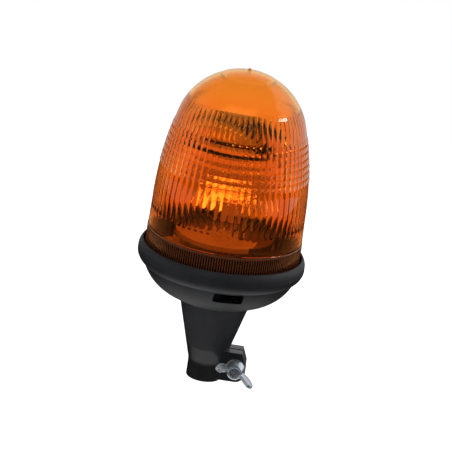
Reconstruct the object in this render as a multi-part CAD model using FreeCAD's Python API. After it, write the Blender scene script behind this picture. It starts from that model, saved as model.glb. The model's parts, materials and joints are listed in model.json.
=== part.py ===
import FreeCAD, Part
import math
import os

from FreeCAD import Vector

# Amber rotating beacon on a flexible neck with a clamp socket for a pole spigot.
# Millimetres, +Z up, origin at the centre of the socket's mouth. The clamp ears point to +X
# and the wing nut to -Y.

# Clearances
running = 0.05          # shaft in its bore
snug = 0.02             # piece pressed or glued into its seat
loose = 0.3             # parts that move past each other
screw_gap = 0.2         # screw in a clearance hole
cut_over = 1.0          # how far a cutter runs past the face that it opens

# Spigot socket
spigot_r = 12.0
spigot_gap = 0.15
sleeve_wall = 2.5
bore_depth = 30.0
stop_h = 4.0
stop_w = 1.35
carrier_h = 5.0
stub_wall = 2.6
waist_z = 13.0
neck_foot_z = 17.4
neck_foot_step = 0.65
sleeve_edge = 0.6
split_above_ears = 1.5

# Clamp ears and their screw
slit = 2.0
ear_width = 9.5
ear_bottom = 2.0
ear_top = 27.5
ear_reach = 33.7
ear_corner = 8.0
ear_slant_w = 4.1
ear_slant_h = 10.5
ear_edge = 1.0
slit_above_ears = 0.5
bolt_r = 4.0
bolt_pitch_to_end = 8.7
bolt_head_flats = 13.0
bolt_head_h = 5.3
bolt_crown_r = 6.1
bolt_crown_h = 0.9
bolt_pocket = 4.0
washer_r = 8.0
washer_h = 1.6
nut_base_r = 7.9
nut_top_r = 6.4
nut_h = 9.5
nut_round = 1.4
wing_span = 33.0
wing_h = 21.5
wing_t = 3.0
wing_tilt = 22.0
bolt_recess = 1.5

# Flexible neck
neck_wall = 5.0
neck_top_r = 29.7
neck_flange_w = 6.4
neck_flange_h = 4.0
neck_gap = 0.4
neck_lip_step = 0.5
neck_lip_h = 1.0
neck_mouth_h = 8.0
ring_grip = 2.0
ring_h = 2.5
ring_screws = 4
ring_screw_r = 1.25
ring_head_r = 2.4
ring_head_h = 2.0
ring_screw_floor = 0.8

# Bowl
lip_z = 70.3
lip_w = 2.0
lip_round = 1.7
floor_t = 4.7
bowl_wall = 3.5
under_radius = 37.0
notch_in = 3.6
notch_z = 96.2
bead_out = 2.3
bead_z = 107.0
bead_low_mid = (0.73, 0.33)   # where the bead's lower arc passes, as shares of its run and rise
bead_top_mid = (0.28, 0.6)    # and its upper arc
rim_r = 66.2
rim_z = 114.5
rim_t = 1.4
seat_drop = 12.5
ledge_drop = 4.0
ledge_w = 4.2
boss_r = 4.5
boss_sink = 3.0
floor_edge = 0.7
boss_angles = (30.0, 150.0, 270.0)
slot_w = 24.0
slot_low_z = 86.8
slot_high_z = 95.6
slot_angle = -80.0
slot_corner = 1.6

# Lens
lens_wall = 2.4
skirt_gap = 1.4
seal_h = 2.0
shoulder_z = 127.4
shoulder_w = 0.4
wall_draw = 0.95
wall_top_z = 146.6
side_radius = 280.0
dome_h = 115.76
rib_count = 7
rib_low_z = 179.0
rib_pitch = 5.3
rib_rise = 0.55
nub_r = 1.3
nub_h = 2.2
lug_count = 3
lug_angle = 12.0
lug_depth = 3.1
lug_h = 2.0
lug_lift = 1.0
lug_play = 1.0
twist = 22.0

# Chassis
deck_t = 3.0
chassis_gap = 1.1
chassis_wall = 5.4
deck_below_rim = 2.5
chassis_screw_r = 1.95
chassis_screw_l = 13.0
chassis_head_r = 3.6
chassis_head_h = 2.6
shade_t = 1.6
shade_below_shoulder = 1.4
peg_count = 3
peg_r = 0.6
peg_l = 3.0
peg_angle = 75.0

# Gear train
turntable_teeth = 60
idler_pinion_teeth = 12
turntable_module = 1.0
idler_wheel_teeth = 40
motor_teeth = 10
motor_module = 0.8
backlash = 0.16
addendum = 0.8
dedendum = 1.25
pressure_angle = 20.0
idler_angle = 195.0
motor_angle = -30.0
wheel_h = 2.7
wheel_lift = 0.9
gear_h = 4.0
gear_lift = 1.4
idler_axle_r = 2.0
idler_over = 0.2
idler_play = 0.1
idler_collar_w = 1.6
idler_clip_h = 0.6
idler_groove = 0.4
idler_pin_over = 0.3
idler_clip_mouth = 80.0
gear_rim = 1.5

# Turntable and its bearing
post_r = 6.0
post_bore_r = 3.2
post_flange_r = 14.0
post_flange_h = 2.0
post_below_deck = 5.0
post_nut_h = 4.5
post_nut_flats = 19.0
thrust_h = 0.8
bush_lift = 0.1
hub_lift = 0.4
bush_wall = 2.4
hub_wall = 3.0
hub_top = 2.1
dish_r = 39.0
dish_lift = 1.9
dish_floor = 1.8
dish_rim_h = 4.0
dish_rim_t = 1.8
clip_h = 1.0
clip_depth = 0.7
clip_out = 2.8
clip_gap_angle = 70.0

# Bulb
holder_low_z = 143.0
holder_r = 10.3
holder_h = 9.0
holder_skirt_h = 5.0
holder_skirt_wall = 2.4
bulb_base_r = 5.0
bulb_base_l = 6.5
bulb_flange_r = 7.2
bulb_flange_h = 1.2
bulb_collar_h = 2.8
glass_r = 4.5
glass_wall = 0.8
glass_l = 38.0
filament_bar = 0.6
filament_lift = 25.0
filament_l = 4.5
filament_r = 0.75
filament_leg_r = 0.3
clip_wire_r = 0.6
clip_arm_y = 5.6
clip_pivot_x = 9.0
clip_reach = 17.6
clip_lug_t = 1.6
clip_lug_half = 1.4
clip_lug_sink = 2.0
clip_rest_gap = 0.1
clip_hook = 2.4

# Mirror
focal = 24.0
mirror_t = 1.4
mirror_half_w = 37.0
mirror_low_z = 140.0
mirror_top_z = 226.0
mirror_corner = 26.0
mirror_angle = -14.0
mirror_boss_r = 4.0
mirror_boss_h = 1.6
mirror_screw_in = 2.0
mirror_low_boss = 26.0
bracket_t = 2.0
bracket_half_w = 10.0
bracket_rise = 8.0
bracket_foot = 13.5
small_screw_r = 1.45
small_head_r = 2.8
small_head_h = 1.8
driver_slot_half = 0.15       # a screw's driver slot, as shares of its head's radius and height
driver_slot_floor = 0.55
bracket_screw_y = 6.0

# Motor
motor_r = 12.5
motor_wall = 1.2
motor_l = 18.0
motor_cap_h = 4.0
motor_boss_r = 4.0
motor_boss_h = 2.5
cap_plug_h = 1.0
cap_floor = 1.0
motor_shaft_r = 1.0
rotor_r = 9.5
rotor_l = 11.0
motor_screw_r = 1.25
motor_screw_circle = 8.0
motor_head_r = 1.9
motor_head_h = 1.3

# Centre contact
plunger_r = 3.0
plunger_tip = 3.4
plunger_round = 1.6
plunger_flange_r = 4.6
plunger_flange_h = 1.4
chamber_r = 5.0
chamber_wall = 2.0
chamber_h = 10.5
carrier_floor = 2.5
spring_wire_r = 0.4
spring_turns = 6
earth_ring_w = 2.6
earth_ring_h = 1.2

# Wiring
lead_r = 1.0
lead_spread = 2.4
block_size = (14.0, 12.0, 10.0)
block_at = (22.0, -8.0)
suppressor_size = (18.0, 9.0, 12.0)
suppressor_at = (20.0, 15.0)
suppressor_round = 1.5

# Places worked out from the sizes above
bore_r = spigot_r + spigot_gap
sleeve_r = bore_r + sleeve_wall
stop_r = bore_r - stop_w
stop_top = bore_depth + stop_h
stub_top = stop_top + carrier_h
carrier_r = bore_r + stop_w
stub_r = carrier_r + stub_wall
neck_foot_r = sleeve_r + neck_foot_step
neck_split_z = ear_top + split_above_ears
ear_half = slit / 2 + ear_width
bolt_x = ear_reach - bolt_pitch_to_end
bolt_z = (ear_bottom + ear_top) / 2
nut_base_y = -ear_half - washer_h
bolt_hole_r = bolt_r + screw_gap

opening_r = neck_top_r + neck_lip_step + neck_gap
floor_z = lip_z + floor_t
flange_r = opening_r + neck_flange_w - neck_gap
flange_top = floor_z + neck_flange_h
ring_top = flange_top + ring_h
ring_in_r = opening_r - neck_flange_w
ring_screw_circle = (opening_r - neck_gap + flange_r) / 2
ring_screw_out = ring_screw_circle + ring_screw_r + snug

rim_in_r = rim_r - rim_t
notch_r = rim_r - notch_in
bead_r = rim_r + bead_out
nose_z = rim_z - rim_t / 2
seat_z = rim_z - seat_drop
ledge_z = seat_z - ledge_drop
lens_z = seat_z + seal_h
skirt_r = rim_in_r - skirt_gap
skirt_in_r = skirt_r - lens_wall
wall_top_r = skirt_r - wall_draw

chassis_r = skirt_in_r - chassis_gap
chassis_in_r = chassis_r - chassis_wall
boss_circle = (flange_r + chassis_in_r) / 2
deck_top = rim_z - deck_below_rim
deck_z = deck_top - deck_t
chassis_screw_low = deck_z - chassis_screw_l
track_r = skirt_in_r - lug_depth - loose
ledge_r = chassis_r - ledge_w + loose

idler_distance = turntable_module * (turntable_teeth + idler_pinion_teeth) / 2
motor_distance = motor_module * (idler_wheel_teeth + motor_teeth) / 2
wheel_z = deck_top + wheel_lift
pinion_z = wheel_z + wheel_h
gear_z = pinion_z + gear_lift
idler_top = gear_z + gear_h + idler_over
idler_clip_z = idler_top + idler_play

post_flange_top = deck_top + post_flange_h
thrust_top = post_flange_top + thrust_h
bush_r = post_r + running + bush_wall
hub_r = bush_r + snug + hub_wall
dish_z = gear_z + gear_h + dish_lift
dish_floor_z = dish_z + dish_floor
hub_top_z = dish_z + dish_rim_h + hub_top
clip_z = hub_top_z + loose

holder_top = holder_low_z + holder_h
flange_z = holder_top + bulb_flange_h
glass_z = flange_z + bulb_collar_h
focus_z = flange_z - bulb_flange_h / 2 + filament_lift
clip_pivot_z = flange_z + clip_wire_r + clip_rest_gap

bracket_front = focal + mirror_t + mirror_boss_h
motor_top = deck_z
motor_low = motor_top - motor_l
cap_low = motor_low - motor_cap_h

chamber_low = stop_top + carrier_floor
chamber_top = chamber_low + chamber_h
carrier_top = chamber_top + chamber_wall


def at_angle(radius, degrees):
    turn = math.radians(degrees)
    return radius * math.cos(turn), radius * math.sin(turn)


idler_at = at_angle(idler_distance, idler_angle)
motor_step = at_angle(motor_distance, motor_angle)
motor_at = (idler_at[0] + motor_step[0], idler_at[1] + motor_step[1])


class Outline:
    # A closed outline in the XZ plane, drawn from point to point.

    def __init__(self, r, z):
        self.start = Vector(r, 0, z)
        self.here = self.start
        self.edges = []

    def line(self, r, z):
        there = Vector(r, 0, z)
        if there.distanceToPoint(self.here) > 1e-6:
            self.edges.append(Part.LineSegment(self.here, there).toShape())
        self.here = there
        return self

    def arc(self, mid_r, mid_z, r, z):
        there = Vector(r, 0, z)
        self.edges.append(Part.Arc(self.here, Vector(mid_r, 0, mid_z), there).toShape())
        self.here = there
        return self

    def arc_about(self, centre, r, z):
        middle = Vector(centre[0], 0, centre[1])
        halfway = (self.here - middle) + (Vector(r, 0, z) - middle)
        mid = middle + halfway.normalize() * (self.here - middle).Length
        return self.arc(mid.x, mid.z, r, z)

    def parabola(self, knee, r, z):
        there = Vector(r, 0, z)
        curve = Part.BezierCurve()
        curve.setPoles([self.here, Vector(knee[0], 0, knee[1]), there])
        self.edges.append(curve.toShape())
        self.here = there
        return self

    def face(self):
        self.line(self.start.x, self.start.z)
        return Part.Face(Part.Wire(self.edges))

    def turned(self, axis=Vector(0, 0, 1), base=Vector()):
        return self.face().revolve(base, axis, 360)

    def drawn(self, y0, y1):
        solid = self.face().extrude(Vector(0, y1 - y0, 0))
        solid.translate(Vector(0, y0, 0))
        return solid


def rod(radius, z0, z1, at=(0, 0)):
    return Part.makeCylinder(radius, z1 - z0, Vector(at[0], at[1], z0))


def hole(radius, z0, z1, at=(0, 0)):
    # A cutter that runs past both faces of what lies between the two heights.
    return rod(radius, z0 - cut_over, z1 + cut_over, at)


def tube(outer, inner, z0, z1, at=(0, 0)):
    return rod(outer, z0, z1, at).cut(hole(inner, z0, z1, at))


def cross_rod(radius, y0, y1, x, z):
    return Part.makeCylinder(radius, y1 - y0, Vector(x, y0, z), Vector(0, 1, 0))


def block(x0, x1, y0, y1, z0, z1):
    return Part.makeBox(x1 - x0, y1 - y0, z1 - z0, Vector(x0, y0, z0))


def sector(r0, r1, z0, z1, a0, a1):
    face = Outline(r0, z0).line(r1, z0).line(r1, z1).line(r0, z1).face()
    face.rotate(Vector(), Vector(0, 0, 1), a0)
    return face.revolve(Vector(), Vector(0, 0, 1), a1 - a0)


def hexagon(flats, z0, z1, at=(0, 0)):
    corner = flats / math.sqrt(3)
    points = [Vector(*at_angle(corner, 60 * k), z0) for k in range(7)]
    solid = Part.Face(Part.makePolygon(points)).extrude(Vector(0, 0, z1 - z0))
    solid.translate(Vector(at[0], at[1], 0))
    return solid


def turned_about_z(shape, degrees):
    copy = shape.copy()
    copy.rotate(Vector(), Vector(0, 0, 1), degrees)
    return copy


def joined(shapes):
    return shapes[0].multiFuse(shapes[1:]).removeSplitter() if len(shapes) > 1 else shapes[0]


def without(shape, cutters):
    return shape.cut(cutters)


def involute(angle):
    return math.tan(angle) - angle


def gear(teeth, module, z0, z1, tooth_at):
    # Spur gear whose tooth centre lies at the given angle.
    pitch_r = module * teeth / 2
    base_r = pitch_r * math.cos(math.radians(pressure_angle))
    at_pitch = (math.pi * module / 2 - backlash) / 2 / pitch_r

    def half_tooth(radius):
        slope = math.acos(min(1.0, base_r / radius))
        return at_pitch + involute(math.radians(pressure_angle)) - involute(slope)

    radii = (pitch_r - dedendum * module, pitch_r, pitch_r + addendum * module)
    points = []
    for tooth in range(teeth):
        middle = math.radians(tooth_at) + 2 * math.pi * tooth / teeth
        flank = [(radius, half_tooth(radius)) for radius in radii]
        for radius, half in flank:
            points.append(Vector(radius * math.cos(middle - half), radius * math.sin(middle - half), z0))
        for radius, half in reversed(flank):
            points.append(Vector(radius * math.cos(middle + half), radius * math.sin(middle + half), z0))
    points.append(points[0])
    return Part.Face(Part.makePolygon(points)).extrude(Vector(0, 0, z1 - z0))


def lead(route):
    # A lead of round section: straight runs joined by tangent arcs, each as large as its runs allow.
    points = [Vector(*point) for point in route]
    edges = []
    here = points[0]
    for before, corner, after in zip(points, points[1:], points[2:]):
        way_in = (corner - before).normalize()
        way_out = (after - corner).normalize()
        cut = 0.45 * min((corner - before).Length, (after - corner).Length)
        half_turn = way_in.getAngle(way_out) / 2
        bend = cut / math.tan(half_turn)
        inward = (way_out - way_in).normalize()
        mid = corner + inward * (bend / math.cos(half_turn) - bend)
        start = corner - way_in * cut
        end = corner + way_out * cut
        edges.append(Part.LineSegment(here, start).toShape())
        edges.append(Part.Arc(start, mid, end).toShape())
        here = end
    edges.append(Part.LineSegment(here, points[-1]).toShape())
    path = Part.Wire(edges)
    ring = Part.Circle(points[0], points[1] - points[0], lead_r).toShape()
    return path.makePipeShell([Part.Wire([ring])], True, False)


def pan_screw(shank_r, z0, seat, head_r, head_h, at):
    # Screw standing on its seat, with a slot across its head.
    screw = rod(shank_r, z0, seat, at).fuse(rod(head_r, seat, seat + head_h, at))
    half = head_r * driver_slot_half
    floor = seat + head_h * driver_slot_floor
    return screw.cut(block(at[0] - head_r, at[0] + head_r, at[1] - half, at[1] + half, floor, seat + head_h))


def neck_r(z):
    # Outer radius of the tapering neck.
    share = (z - neck_foot_z) / (lip_z - neck_foot_z)
    return neck_foot_r + share * (neck_top_r - neck_foot_r)


def circle_centre(p, q, radius):
    # Centre of the arc from p up to q that bulges away from the axis.
    dr = q[0] - p[0]
    dz = q[1] - p[1]
    chord = math.hypot(dr, dz)
    rise = math.sqrt(radius ** 2 - chord ** 2 / 4)
    return (p[0] + q[0]) / 2 - dz / chord * rise, (p[1] + q[1]) / 2 + dr / chord * rise


def on_circle_z(centre, radius, r):
    return centre[1] - math.sqrt(radius ** 2 - (r - centre[0]) ** 2)


under_start = (opening_r + lip_w + lip_round, lip_z + lip_round)
under_centre = circle_centre(under_start, (notch_r, notch_z), under_radius)
inner_radius = under_radius - bowl_wall
floor_r = flange_r + floor_edge
ring_screw_low = on_circle_z(under_centre, under_radius, ring_screw_out) + ring_screw_floor


def screw_spots(count, circle, first):
    return [at_angle(circle, first + 360 * k / count) for k in range(count)]


ring_spots = screw_spots(ring_screws, ring_screw_circle, 45)
boss_spots = [at_angle(boss_circle, angle) for angle in boss_angles]
peg_spots = [at_angle(track_r - shade_t / 2, peg_angle + 360 * k / peg_count) for k in range(peg_count)]


# Clamp at the foot
def clamp_socket():
    sleeve = (Outline(bore_r, 0).line(sleeve_r - sleeve_edge, 0).line(sleeve_r, sleeve_edge)
              .line(sleeve_r, waist_z)
              .arc(sleeve_r + neck_foot_step / 4, (waist_z + neck_foot_z) / 2, neck_foot_r, neck_foot_z)
              .line(neck_r(neck_split_z), neck_split_z).line(stub_r, neck_split_z)
              .line(stub_r, stub_top).line(carrier_r, stub_top).line(carrier_r, stop_top)
              .line(stop_r, stop_top).line(stop_r, bore_depth).line(bore_r, bore_depth).turned())
    corner = ear_corner * (1 - math.sqrt(0.5))
    ears = (Outline(0, ear_bottom).line(ear_reach - ear_corner, ear_bottom)
            .arc(ear_reach - corner, ear_bottom + corner, ear_reach, ear_bottom + ear_corner)
            .line(ear_reach, ear_top - ear_slant_h).line(ear_reach - ear_slant_w, ear_top)
            .line(0, ear_top).drawn(-ear_half, ear_half))
    outer = [edge for edge in ears.Edges
             if edge.BoundBox.XMax > bore_r and edge.BoundBox.YLength < 1e-6]
    ears = ears.makeFillet(ear_edge, outer)
    pocket = hexagon(bolt_head_flats + 2 * screw_gap, 0, bolt_pocket + cut_over)
    pocket.rotate(Vector(), Vector(1, 0, 0), -90)
    pocket.translate(Vector(bolt_x, ear_half - bolt_pocket, bolt_z))
    return without(sleeve.fuse(ears), [
        rod(bore_r, -cut_over, bore_depth),
        block(0, ear_reach + cut_over, -slit / 2, slit / 2, -cut_over, ear_top + slit_above_ears),
        cross_rod(bolt_hole_r, -ear_half - cut_over, ear_half + cut_over, bolt_x, bolt_z),
        pocket]).removeSplitter()


def clamp_bolt():
    corner = bolt_head_flats / math.sqrt(3)
    crown = (Outline(0, 0).line(corner, 0).line(corner, bolt_head_h - bolt_crown_h)
             .line(bolt_crown_r, bolt_head_h).line(0, bolt_head_h).turned())
    head = hexagon(bolt_head_flats, 0, bolt_head_h).common(crown)
    head.rotate(Vector(), Vector(1, 0, 0), -90)
    seat = ear_half - bolt_pocket
    head.translate(Vector(bolt_x, seat, bolt_z))
    end = nut_base_y - nut_h + bolt_recess
    return head.fuse(cross_rod(bolt_r, end, seat, bolt_x, bolt_z)).removeSplitter()


def clamp_washer():
    ring = cross_rod(washer_r, nut_base_y, -ear_half, bolt_x, bolt_z)
    return ring.cut(cross_rod(bolt_hole_r, nut_base_y - cut_over, -ear_half + cut_over, bolt_x, bolt_z))


def wing_nut():
    # Drawn with its axis along +Z, then laid over onto the bolt. The wing's outline rises from the
    # hub to its tip and comes back over a rounded end, in shares of its reach and height.
    tip_r = wing_span / 2
    hub = (Outline(0, 0).line(nut_base_r, 0).line(nut_top_r, nut_h - nut_round)
           .arc_about((nut_top_r - nut_round, nut_h - nut_round), nut_top_r - nut_round, nut_h)
           .line(0, nut_h).turned())
    wing = (Outline(bolt_r, nut_h * 0.17).line(tip_r * 0.52, nut_h * 0.34)
            .arc(tip_r * 0.82, wing_h * 0.36, tip_r, wing_h * 0.72)
            .arc(tip_r * 0.95, wing_h * 0.97, tip_r * 0.76, wing_h)
            .arc(tip_r * 0.56, wing_h * 0.76, tip_r * 0.29, nut_h * 0.94)
            .line(bolt_r, nut_h * 0.9).drawn(-wing_t / 2, wing_t / 2))
    nut = joined([hub, wing, turned_about_z(wing, 180)]).cut(hole(bolt_r + running, 0, nut_h))
    nut.rotate(Vector(), Vector(1, 0, 0), 90)
    nut.rotate(Vector(), Vector(0, 1, 0), wing_tilt)
    nut.translate(Vector(bolt_x, nut_base_y, bolt_z))
    return nut


def contact_carrier():
    cup = joined([rod(carrier_r - snug, stop_top, stub_top),
                  rod(chamber_r + chamber_wall, stub_top, carrier_top)])
    return without(cup, [rod(chamber_r, chamber_low, chamber_top),
                         hole(plunger_r + running, stop_top, chamber_low)])


def contact_plunger():
    low = stop_top - plunger_tip
    flange_low = chamber_low + running
    nose_r = plunger_r - plunger_round
    return (Outline(0, low).line(nose_r, low)
            .arc_about((nose_r, low + plunger_round), plunger_r, low + plunger_round)
            .line(plunger_r, flange_low).line(plunger_flange_r, flange_low)
            .line(plunger_flange_r, flange_low + plunger_flange_h)
            .line(0, flange_low + plunger_flange_h).turned())


def contact_spring():
    low = chamber_low + running + plunger_flange_h + spring_wire_r
    high = chamber_top - spring_wire_r
    coil_r = plunger_flange_r - 2 * spring_wire_r
    path = Part.Wire(Part.makeHelix((high - low) / spring_turns, high - low, coil_r).Edges)
    ring = Part.Circle(Vector(coil_r, 0, 0), Vector(0, 1, 0), spring_wire_r).toShape()
    coil = path.makePipeShell([Part.Wire([ring])], True, True)
    coil.translate(Vector(0, 0, low))
    return coil


def earth_ring():
    outer = stop_r - loose
    return tube(outer, outer - earth_ring_w, stop_top - earth_ring_h, stop_top)


# Neck and bowl
def flexible_neck():
    inner_low = stub_top + loose
    inner_high = lip_z - neck_mouth_h
    return (Outline(stub_r + snug, neck_split_z).line(neck_r(neck_split_z), neck_split_z)
            .line(neck_top_r, lip_z).line(opening_r - neck_gap, lip_z + neck_lip_h)
            .line(opening_r - neck_gap, floor_z).line(flange_r, floor_z).line(flange_r, flange_top)
            .line(ring_in_r, flange_top).line(ring_in_r, flange_top - ring_grip)
            .line(neck_r(inner_high) - neck_wall, inner_high)
            .line(max(neck_r(inner_low) - neck_wall, stub_r + snug), inner_low).turned()
            .cut([hole(ring_screw_r + screw_gap, floor_z, flange_top, spot) for spot in ring_spots]))


def neck_ring():
    ring = tube(flange_r, ring_in_r, flange_top, ring_top)
    return without(ring, [hole(ring_screw_r + screw_gap, flange_top, ring_top, spot) for spot in ring_spots])


def neck_ring_screws():
    return [pan_screw(ring_screw_r, ring_screw_low, ring_top, ring_head_r, ring_head_h, spot)
            for spot in ring_spots]


def base_bowl():
    low_run, low_rise = bead_low_mid
    top_run, top_rise = bead_top_mid
    shell = (Outline(opening_r, lip_z).line(opening_r + lip_w, lip_z)
             .arc_about((opening_r + lip_w, lip_z + lip_round), *under_start)
             .arc_about(under_centre, notch_r, notch_z)
             .arc(notch_r + low_run * (bead_r - notch_r), notch_z + low_rise * (bead_z - notch_z),
                  bead_r, bead_z)
             .arc(bead_r - top_run * (bead_r - rim_r), bead_z + top_rise * (nose_z - bead_z), rim_r, nose_z)
             .arc((rim_r + rim_in_r) / 2, rim_z, rim_in_r, nose_z)
             .line(rim_in_r, seat_z).line(chassis_r + loose, seat_z)
             .line(chassis_r + loose, ledge_z).line(ledge_r, ledge_z)
             .line(ledge_r, on_circle_z(under_centre, inner_radius, ledge_r))
             .arc_about(under_centre, floor_r, on_circle_z(under_centre, inner_radius, floor_r))
             .line(floor_r, floor_z).line(opening_r, floor_z).turned())
    boss_low = on_circle_z(under_centre, inner_radius, boss_circle + boss_r) - boss_sink
    bosses = [rod(boss_r, boss_low, deck_z, spot) for spot in boss_spots]
    slot = block(boss_circle + boss_r, bead_r, -slot_w / 2, slot_w / 2, slot_low_z, slot_high_z)
    slot = slot.makeFillet(slot_corner, [edge for edge in slot.Edges if edge.BoundBox.XLength > boss_r])
    slot.rotate(Vector(), Vector(0, 0, 1), slot_angle)
    holes = [hole(chassis_screw_r + snug, chassis_screw_low, deck_z, spot) for spot in boss_spots]
    holes += [rod(ring_screw_r + snug, ring_screw_low - screw_gap, floor_z + cut_over, spot)
              for spot in ring_spots]
    return without(joined([shell] + bosses), [slot] + holes)


def lens_seal():
    return tube(rim_in_r - loose, chassis_r + 2 * loose, seat_z, lens_z)


# Lens
# The crown's radius is the one that meets the side smoothly and gives the dome its height.
side_centre = (wall_top_r - side_radius, wall_top_z)
crown_radius = (side_radius ** 2 - side_centre[0] ** 2 - dome_h ** 2) / (2 * (side_radius - dome_h))
crown_z = wall_top_z + dome_h - crown_radius
join_angle = math.atan2(crown_z - wall_top_z, -side_centre[0])


def side_point(z, out=0.0):
    # Point on the lens's curved side, moved outwards by the given distance.
    slope = math.asin((z - wall_top_z) / side_radius)
    reach = side_radius + out
    return side_centre[0] + reach * math.cos(slope), side_centre[1] + reach * math.sin(slope)


def lens_dome():
    join = (side_centre[0] + side_radius * math.cos(join_angle),
            side_centre[1] + side_radius * math.sin(join_angle))
    in_join = (join[0] - lens_wall * math.cos(join_angle), join[1] - lens_wall * math.sin(join_angle))
    shape = (Outline(skirt_in_r, lens_z).line(skirt_r, lens_z).line(skirt_r, shoulder_z)
             .line(skirt_r - shoulder_w, shoulder_z + shoulder_w).line(wall_top_r, wall_top_z)
             .arc_about(side_centre, *side_point(rib_low_z)))
    for rib in range(rib_count):
        low = rib_low_z + rib * rib_pitch
        shape.arc(*side_point(low + rib_pitch / 2, rib_rise), *side_point(low + rib_pitch))
    shape.arc_about(side_centre, *join)
    shape.arc_about((0, crown_z), 0, crown_z + crown_radius)
    shape.line(0, crown_z + crown_radius - lens_wall)
    shape.arc_about((0, crown_z), *in_join)
    shape.arc_about(side_centre, wall_top_r - lens_wall, wall_top_z)
    shape.line(skirt_in_r - shoulder_w, shoulder_z + shoulder_w)
    shape.line(skirt_in_r, shoulder_z)
    top = crown_z + crown_radius
    solids = [shape.turned(), rod(nub_r, top - lens_wall / 2, top + nub_h)]
    for k in range(lug_count):
        start = 360 * k / lug_count - lug_angle / 2
        solids.append(sector(skirt_in_r - lug_depth, skirt_in_r + lens_wall / 2, lens_z + lug_lift,
                             lens_z + lug_lift + lug_h, start, start + lug_angle))
    return joined(solids)


# Chassis and motor
motor_across = at_angle(motor_screw_circle, motor_angle + 90)
motor_spots = [(motor_at[0] + side * motor_across[0], motor_at[1] + side * motor_across[1])
               for side in (1, -1)]


def chassis_plate():
    body = rod(chassis_r, ledge_z, deck_top).cut(rod(chassis_in_r, ledge_z - cut_over, deck_z))
    cuts = [hole(post_r + snug, deck_z, deck_top),
            hole(motor_boss_r + snug, deck_z, deck_top, motor_at),
            hole(idler_axle_r + snug, deck_z, deck_top, idler_at)]
    cuts += [hole(chassis_screw_r + screw_gap, deck_z, deck_top, spot) for spot in boss_spots]
    cuts += [hole(motor_screw_r + screw_gap, deck_z, deck_top, spot) for spot in motor_spots]
    cuts += [rod(peg_r + snug, deck_top - peg_l - screw_gap, deck_top + cut_over, spot)
             for spot in peg_spots]
    track_low = lens_z + lug_lift - loose
    track_high = lens_z + lug_lift + lug_h + loose
    for k in range(lug_count):
        start = 360 * k / lug_count - lug_angle / 2 - lug_play
        end = start + lug_angle + twist + 2 * lug_play
        entry = end - lug_angle - 2 * lug_play
        cuts.append(sector(track_r, chassis_r + cut_over, track_low, track_high, start, end))
        cuts.append(sector(track_r, chassis_r + cut_over, track_low, deck_top + cut_over, entry, end))
    return without(body, cuts)


def shade_ring():
    # Black ring behind the lens's skirt, pegged into the deck inside the path of the lugs.
    ring = tube(track_r, track_r - shade_t, deck_top, shoulder_z - shade_below_shoulder)
    return joined([ring] + [rod(peg_r, deck_top - peg_l, deck_top + peg_r, spot) for spot in peg_spots])


def chassis_screws():
    return [pan_screw(chassis_screw_r, chassis_screw_low, deck_top, chassis_head_r, chassis_head_h, spot)
            for spot in boss_spots]


def motor_can():
    can = joined([rod(motor_r, motor_low, motor_top, motor_at),
                  rod(motor_boss_r, motor_top - motor_wall, motor_top + motor_boss_h, motor_at)])
    cuts = [rod(motor_r - motor_wall, motor_low - cut_over, motor_top - motor_wall, motor_at),
            hole(motor_shaft_r + running, motor_low, motor_top + motor_boss_h, motor_at)]
    cuts += [hole(motor_screw_r + snug, motor_top - motor_wall, motor_top, spot) for spot in motor_spots]
    return without(can, cuts)


def motor_end_cap():
    plug_top = motor_low + cap_plug_h
    cap = joined([rod(motor_r, cap_low, motor_low, motor_at),
                  rod(motor_r - motor_wall - snug, motor_low, plug_top, motor_at)])
    return cap.cut(rod(motor_shaft_r + running, cap_low + cap_floor, plug_top + cut_over, motor_at))


def motor_screws():
    low = motor_top - motor_wall
    return [pan_screw(motor_screw_r, low, deck_top, motor_head_r, motor_head_h, spot)
            for spot in motor_spots]


def motor_shaft():
    return rod(motor_shaft_r, cap_low + cap_floor + screw_gap, pinion_z, motor_at)


def motor_rotor():
    middle = (motor_low + motor_top) / 2
    return tube(rotor_r, motor_shaft_r + snug, middle - rotor_l / 2, middle + rotor_l / 2, motor_at)


def motor_pinion():
    teeth = gear(motor_teeth, motor_module, wheel_z, pinion_z, motor_angle + 180 + 180 / motor_teeth)
    return teeth.cut(hole(motor_shaft_r + snug, wheel_z, pinion_z)).translated(Vector(*motor_at, 0))


def open_ring(ring, outer, z, height, mouth):
    # A retaining ring with its mouth cut towards +X.
    half = mouth / 2
    return ring.cut(sector(snug, outer + cut_over, z - cut_over, z + height + cut_over, -half, half))


# Idler
def idler_gear():
    wheel = gear(idler_wheel_teeth, motor_module, wheel_z, pinion_z, motor_angle)
    pinion = gear(idler_pinion_teeth, turntable_module, pinion_z, idler_top,
                  idler_angle + 180 + 180 / idler_pinion_teeth)
    whole = wheel.fuse(pinion).cut(hole(idler_axle_r + running, wheel_z, idler_top))
    return whole.translated(Vector(*idler_at, 0))


def idler_axle():
    clip_top = idler_clip_z + idler_clip_h
    pin = joined([rod(idler_axle_r, deck_z, clip_top + idler_pin_over, idler_at),
                  rod(idler_axle_r + idler_collar_w, deck_top, wheel_z - idler_play, idler_at)])
    groove_r = idler_axle_r - idler_groove
    return pin.cut(tube(idler_axle_r + cut_over, groove_r, idler_clip_z, clip_top, idler_at))


def idler_clip():
    clip_r = idler_axle_r + idler_collar_w
    ring = tube(clip_r, idler_axle_r - idler_groove + snug, idler_clip_z, idler_clip_z + idler_clip_h)
    clip = open_ring(ring, clip_r, idler_clip_z, idler_clip_h, idler_clip_mouth)
    return clip.translated(Vector(*idler_at, 0))


# Turntable and bearing
def bearing_post():
    post = joined([rod(post_r, deck_z - post_below_deck, holder_low_z),
                   rod(post_flange_r, deck_top, post_flange_top)])
    groove = tube(post_r + cut_over, post_r - clip_depth, clip_z, clip_z + clip_h)
    return without(post, [hole(post_bore_r, deck_z - post_below_deck, holder_low_z), groove])


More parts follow.
